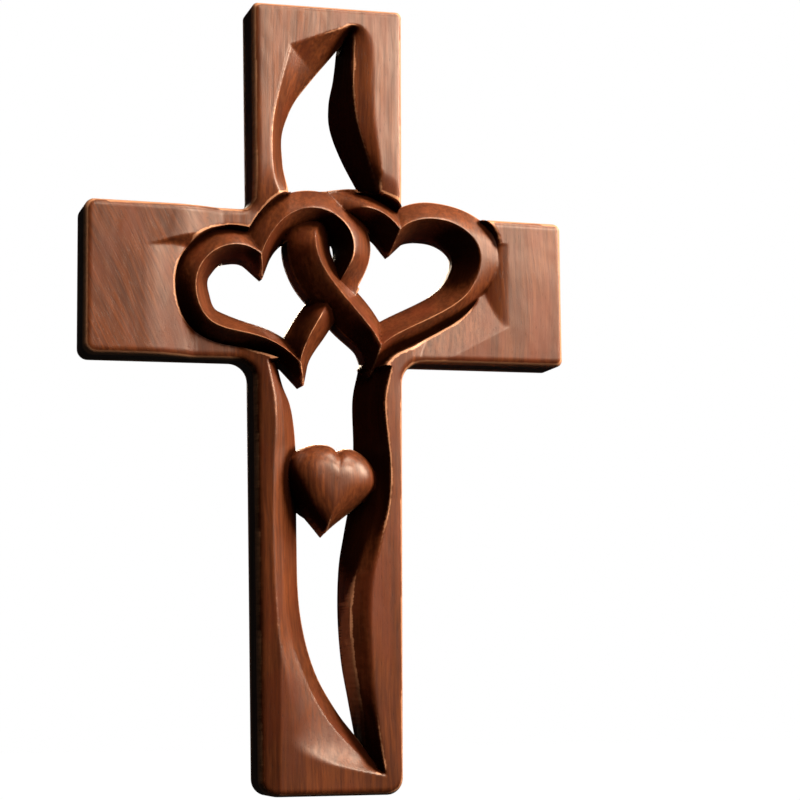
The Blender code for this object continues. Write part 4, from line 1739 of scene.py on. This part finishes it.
    def dress(self, piece: bpy.types.Object) -> None:
        """Give the piece its finish, with its painted shade and highlight, and hand it to the frame.
        """
        piece.data.materials.append(self.finish.material())
        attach(piece, "root")
        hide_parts("carved_cross")


# ------------------------------------------------------------------------------------------------
# Studio
# ------------------------------------------------------------------------------------------------


@dataclass(frozen=True)
class SoftLamp:
    """A square soft lamp with warm light that faces the middle of the cross."""

    name: str
    place: tuple[float, float, float]
    size: float
    watts: float
    aim: tuple[float, float, float] = (0.0, 0.0, -0.12)
    colour: tuple[float, float, float] = (1.0, 0.79, 0.60)

    def build(self) -> None:
        """Hang the lamp."""
        lamp = bpy.data.lights.new(self.name, "AREA")
        lamp.energy = self.watts
        lamp.size = self.size
        lamp.color = self.colour
        obj = bpy.data.objects.new(self.name, lamp)
        obj.location = self.place
        toward = Vector(self.aim) - Vector(self.place)
        obj.rotation_euler = toward.to_track_quat("-Z", "Y").to_euler()
        bpy.context.scene.collection.objects.link(obj)


@dataclass(frozen=True)
class Studio:
    """A pale floor, soft lamps and the camera, low and to the left of the cross."""

    board: Board
    yaw: float = 0.27741
    pitch: float = 0.12572
    roll: float = -0.01069
    aim_x: float = 32.54771
    aim_z: float = 150.43656
    distance: float = 900.06631
    lens: float = 104.2587
    floor_level: float = -0.75
    floor_half: float = 20.0
    lamps: tuple[SoftLamp, ...] = (
        SoftLamp("key_lamp", (0.48, -0.20, 0.11), 0.26, 4.1),
        SoftLamp("sheen_lamp", (0.43, -0.81, 0.29), 0.30, 8.0),
        SoftLamp("high_lamp", (0.35, -0.35, 0.75), 0.40, 7.0),
        SoftLamp("front_lamp", (0.07, -0.79, 0.50), 0.30, 2.4),
        SoftLamp("back_lamp", (0.14, 0.95, 0.10), 0.30, 6.0),
    )

    def camera(self) -> None:
        """Stand the camera."""
        sy, cy = math.sin(self.yaw), math.cos(self.yaw)
        sp, cp = math.sin(self.pitch), math.cos(self.pitch)
        look = Vector((sy * cp, cy * cp, sp))
        right = Vector((cy, -sy, 0.0))
        up = right.cross(look)
        sr, cr = math.sin(self.roll), math.cos(self.roll)
        right, up = cr * right + sr * up, -sr * right + cr * up
        aim = Vector(self.board.place(self.aim_x, self.aim_z, 0.0))
        spot = aim - look * self.distance * MM
        camera = bpy.data.cameras.new("camera")
        camera.lens = self.lens
        camera.sensor_width = 36.0
        camera.clip_end = 60.0
        obj = bpy.data.objects.new("camera", camera)
        obj.matrix_world = Matrix((
            (right.x, up.x, -look.x, spot.x),
            (right.y, up.y, -look.y, spot.y),
            (right.z, up.z, -look.z, spot.z),
            (0.0, 0.0, 0.0, 1.0)))
        bpy.context.scene.collection.objects.link(obj)
        bpy.context.scene.camera = obj

    def floor(self) -> None:
        """Lay the pale floor, well below the cross."""
        mesh = bpy.data.meshes.new("floor")
        corners = [(i * self.floor_half, j * self.floor_half, self.floor_level)
                   for i, j in ((-1, -1), (1, -1), (1, 1), (-1, 1))]
        mesh.from_pydata(corners, [], [(0, 1, 2, 3)])
        floor = bpy.data.objects.new("floor", mesh)
        paint = bpy.data.materials.new("pale_floor")
        paint.use_nodes = True
        shader = paint.node_tree.nodes["Principled BSDF"]
        shader.inputs["Base Color"].default_value = (0.9, 0.9, 0.9, 1.0)
        shader.inputs["Roughness"].default_value = 0.9
        shader.inputs["Emission Color"].default_value = (1.0, 1.0, 1.0, 1.0)
        shader.inputs["Emission Strength"].default_value = 1.0
        mesh.materials.append(paint)
        floor.visible_diffuse = False
        floor.visible_glossy = False
        bpy.context.scene.collection.objects.link(floor)

    def backdrop(self) -> None:
        """Light the room: white to the eye, dim to the wood."""
        world = bpy.data.worlds.new("room")
        bpy.context.scene.world = world
        world.use_nodes = True
        tree = world.node_tree
        tree.nodes.clear()
        out = tree.nodes.new("ShaderNodeOutputWorld")
        mix = tree.nodes.new("ShaderNodeMixShader")
        rays = tree.nodes.new("ShaderNodeLightPath")
        dim = tree.nodes.new("ShaderNodeBackground")
        white = tree.nodes.new("ShaderNodeBackground")
        dim.inputs["Color"].default_value = (1.0, 0.95, 0.9, 1.0)
        dim.inputs["Strength"].default_value = 0.012
        white.inputs["Color"].default_value = (1.0, 1.0, 1.0, 1.0)
        tree.links.new(rays.outputs["Is Camera Ray"], mix.inputs["Fac"])
        tree.links.new(dim.outputs["Background"], mix.inputs[1])
        tree.links.new(white.outputs["Background"], mix.inputs[2])
        tree.links.new(mix.outputs["Shader"], out.inputs["Surface"])

    def build(self) -> None:
        """Set the studio up."""
        self.camera()
        self.floor()
        self.backdrop()
        for lamp in self.lamps:
            lamp.build()
        bpy.context.scene.view_settings.view_transform = "Standard"


def main() -> None:
    """Build the studio and the cross."""
    logging.basicConfig(level=logging.INFO, format="%(name)s %(message)s")
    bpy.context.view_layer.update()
    cross = CarvedCross()
    piece = cross.build()
    cross.dress(piece)
    LOG.info("%s: %d faces", piece.name, len(piece.data.polygons))
    Studio(cross.board).build()


if __name__ == "__main__":
    main()
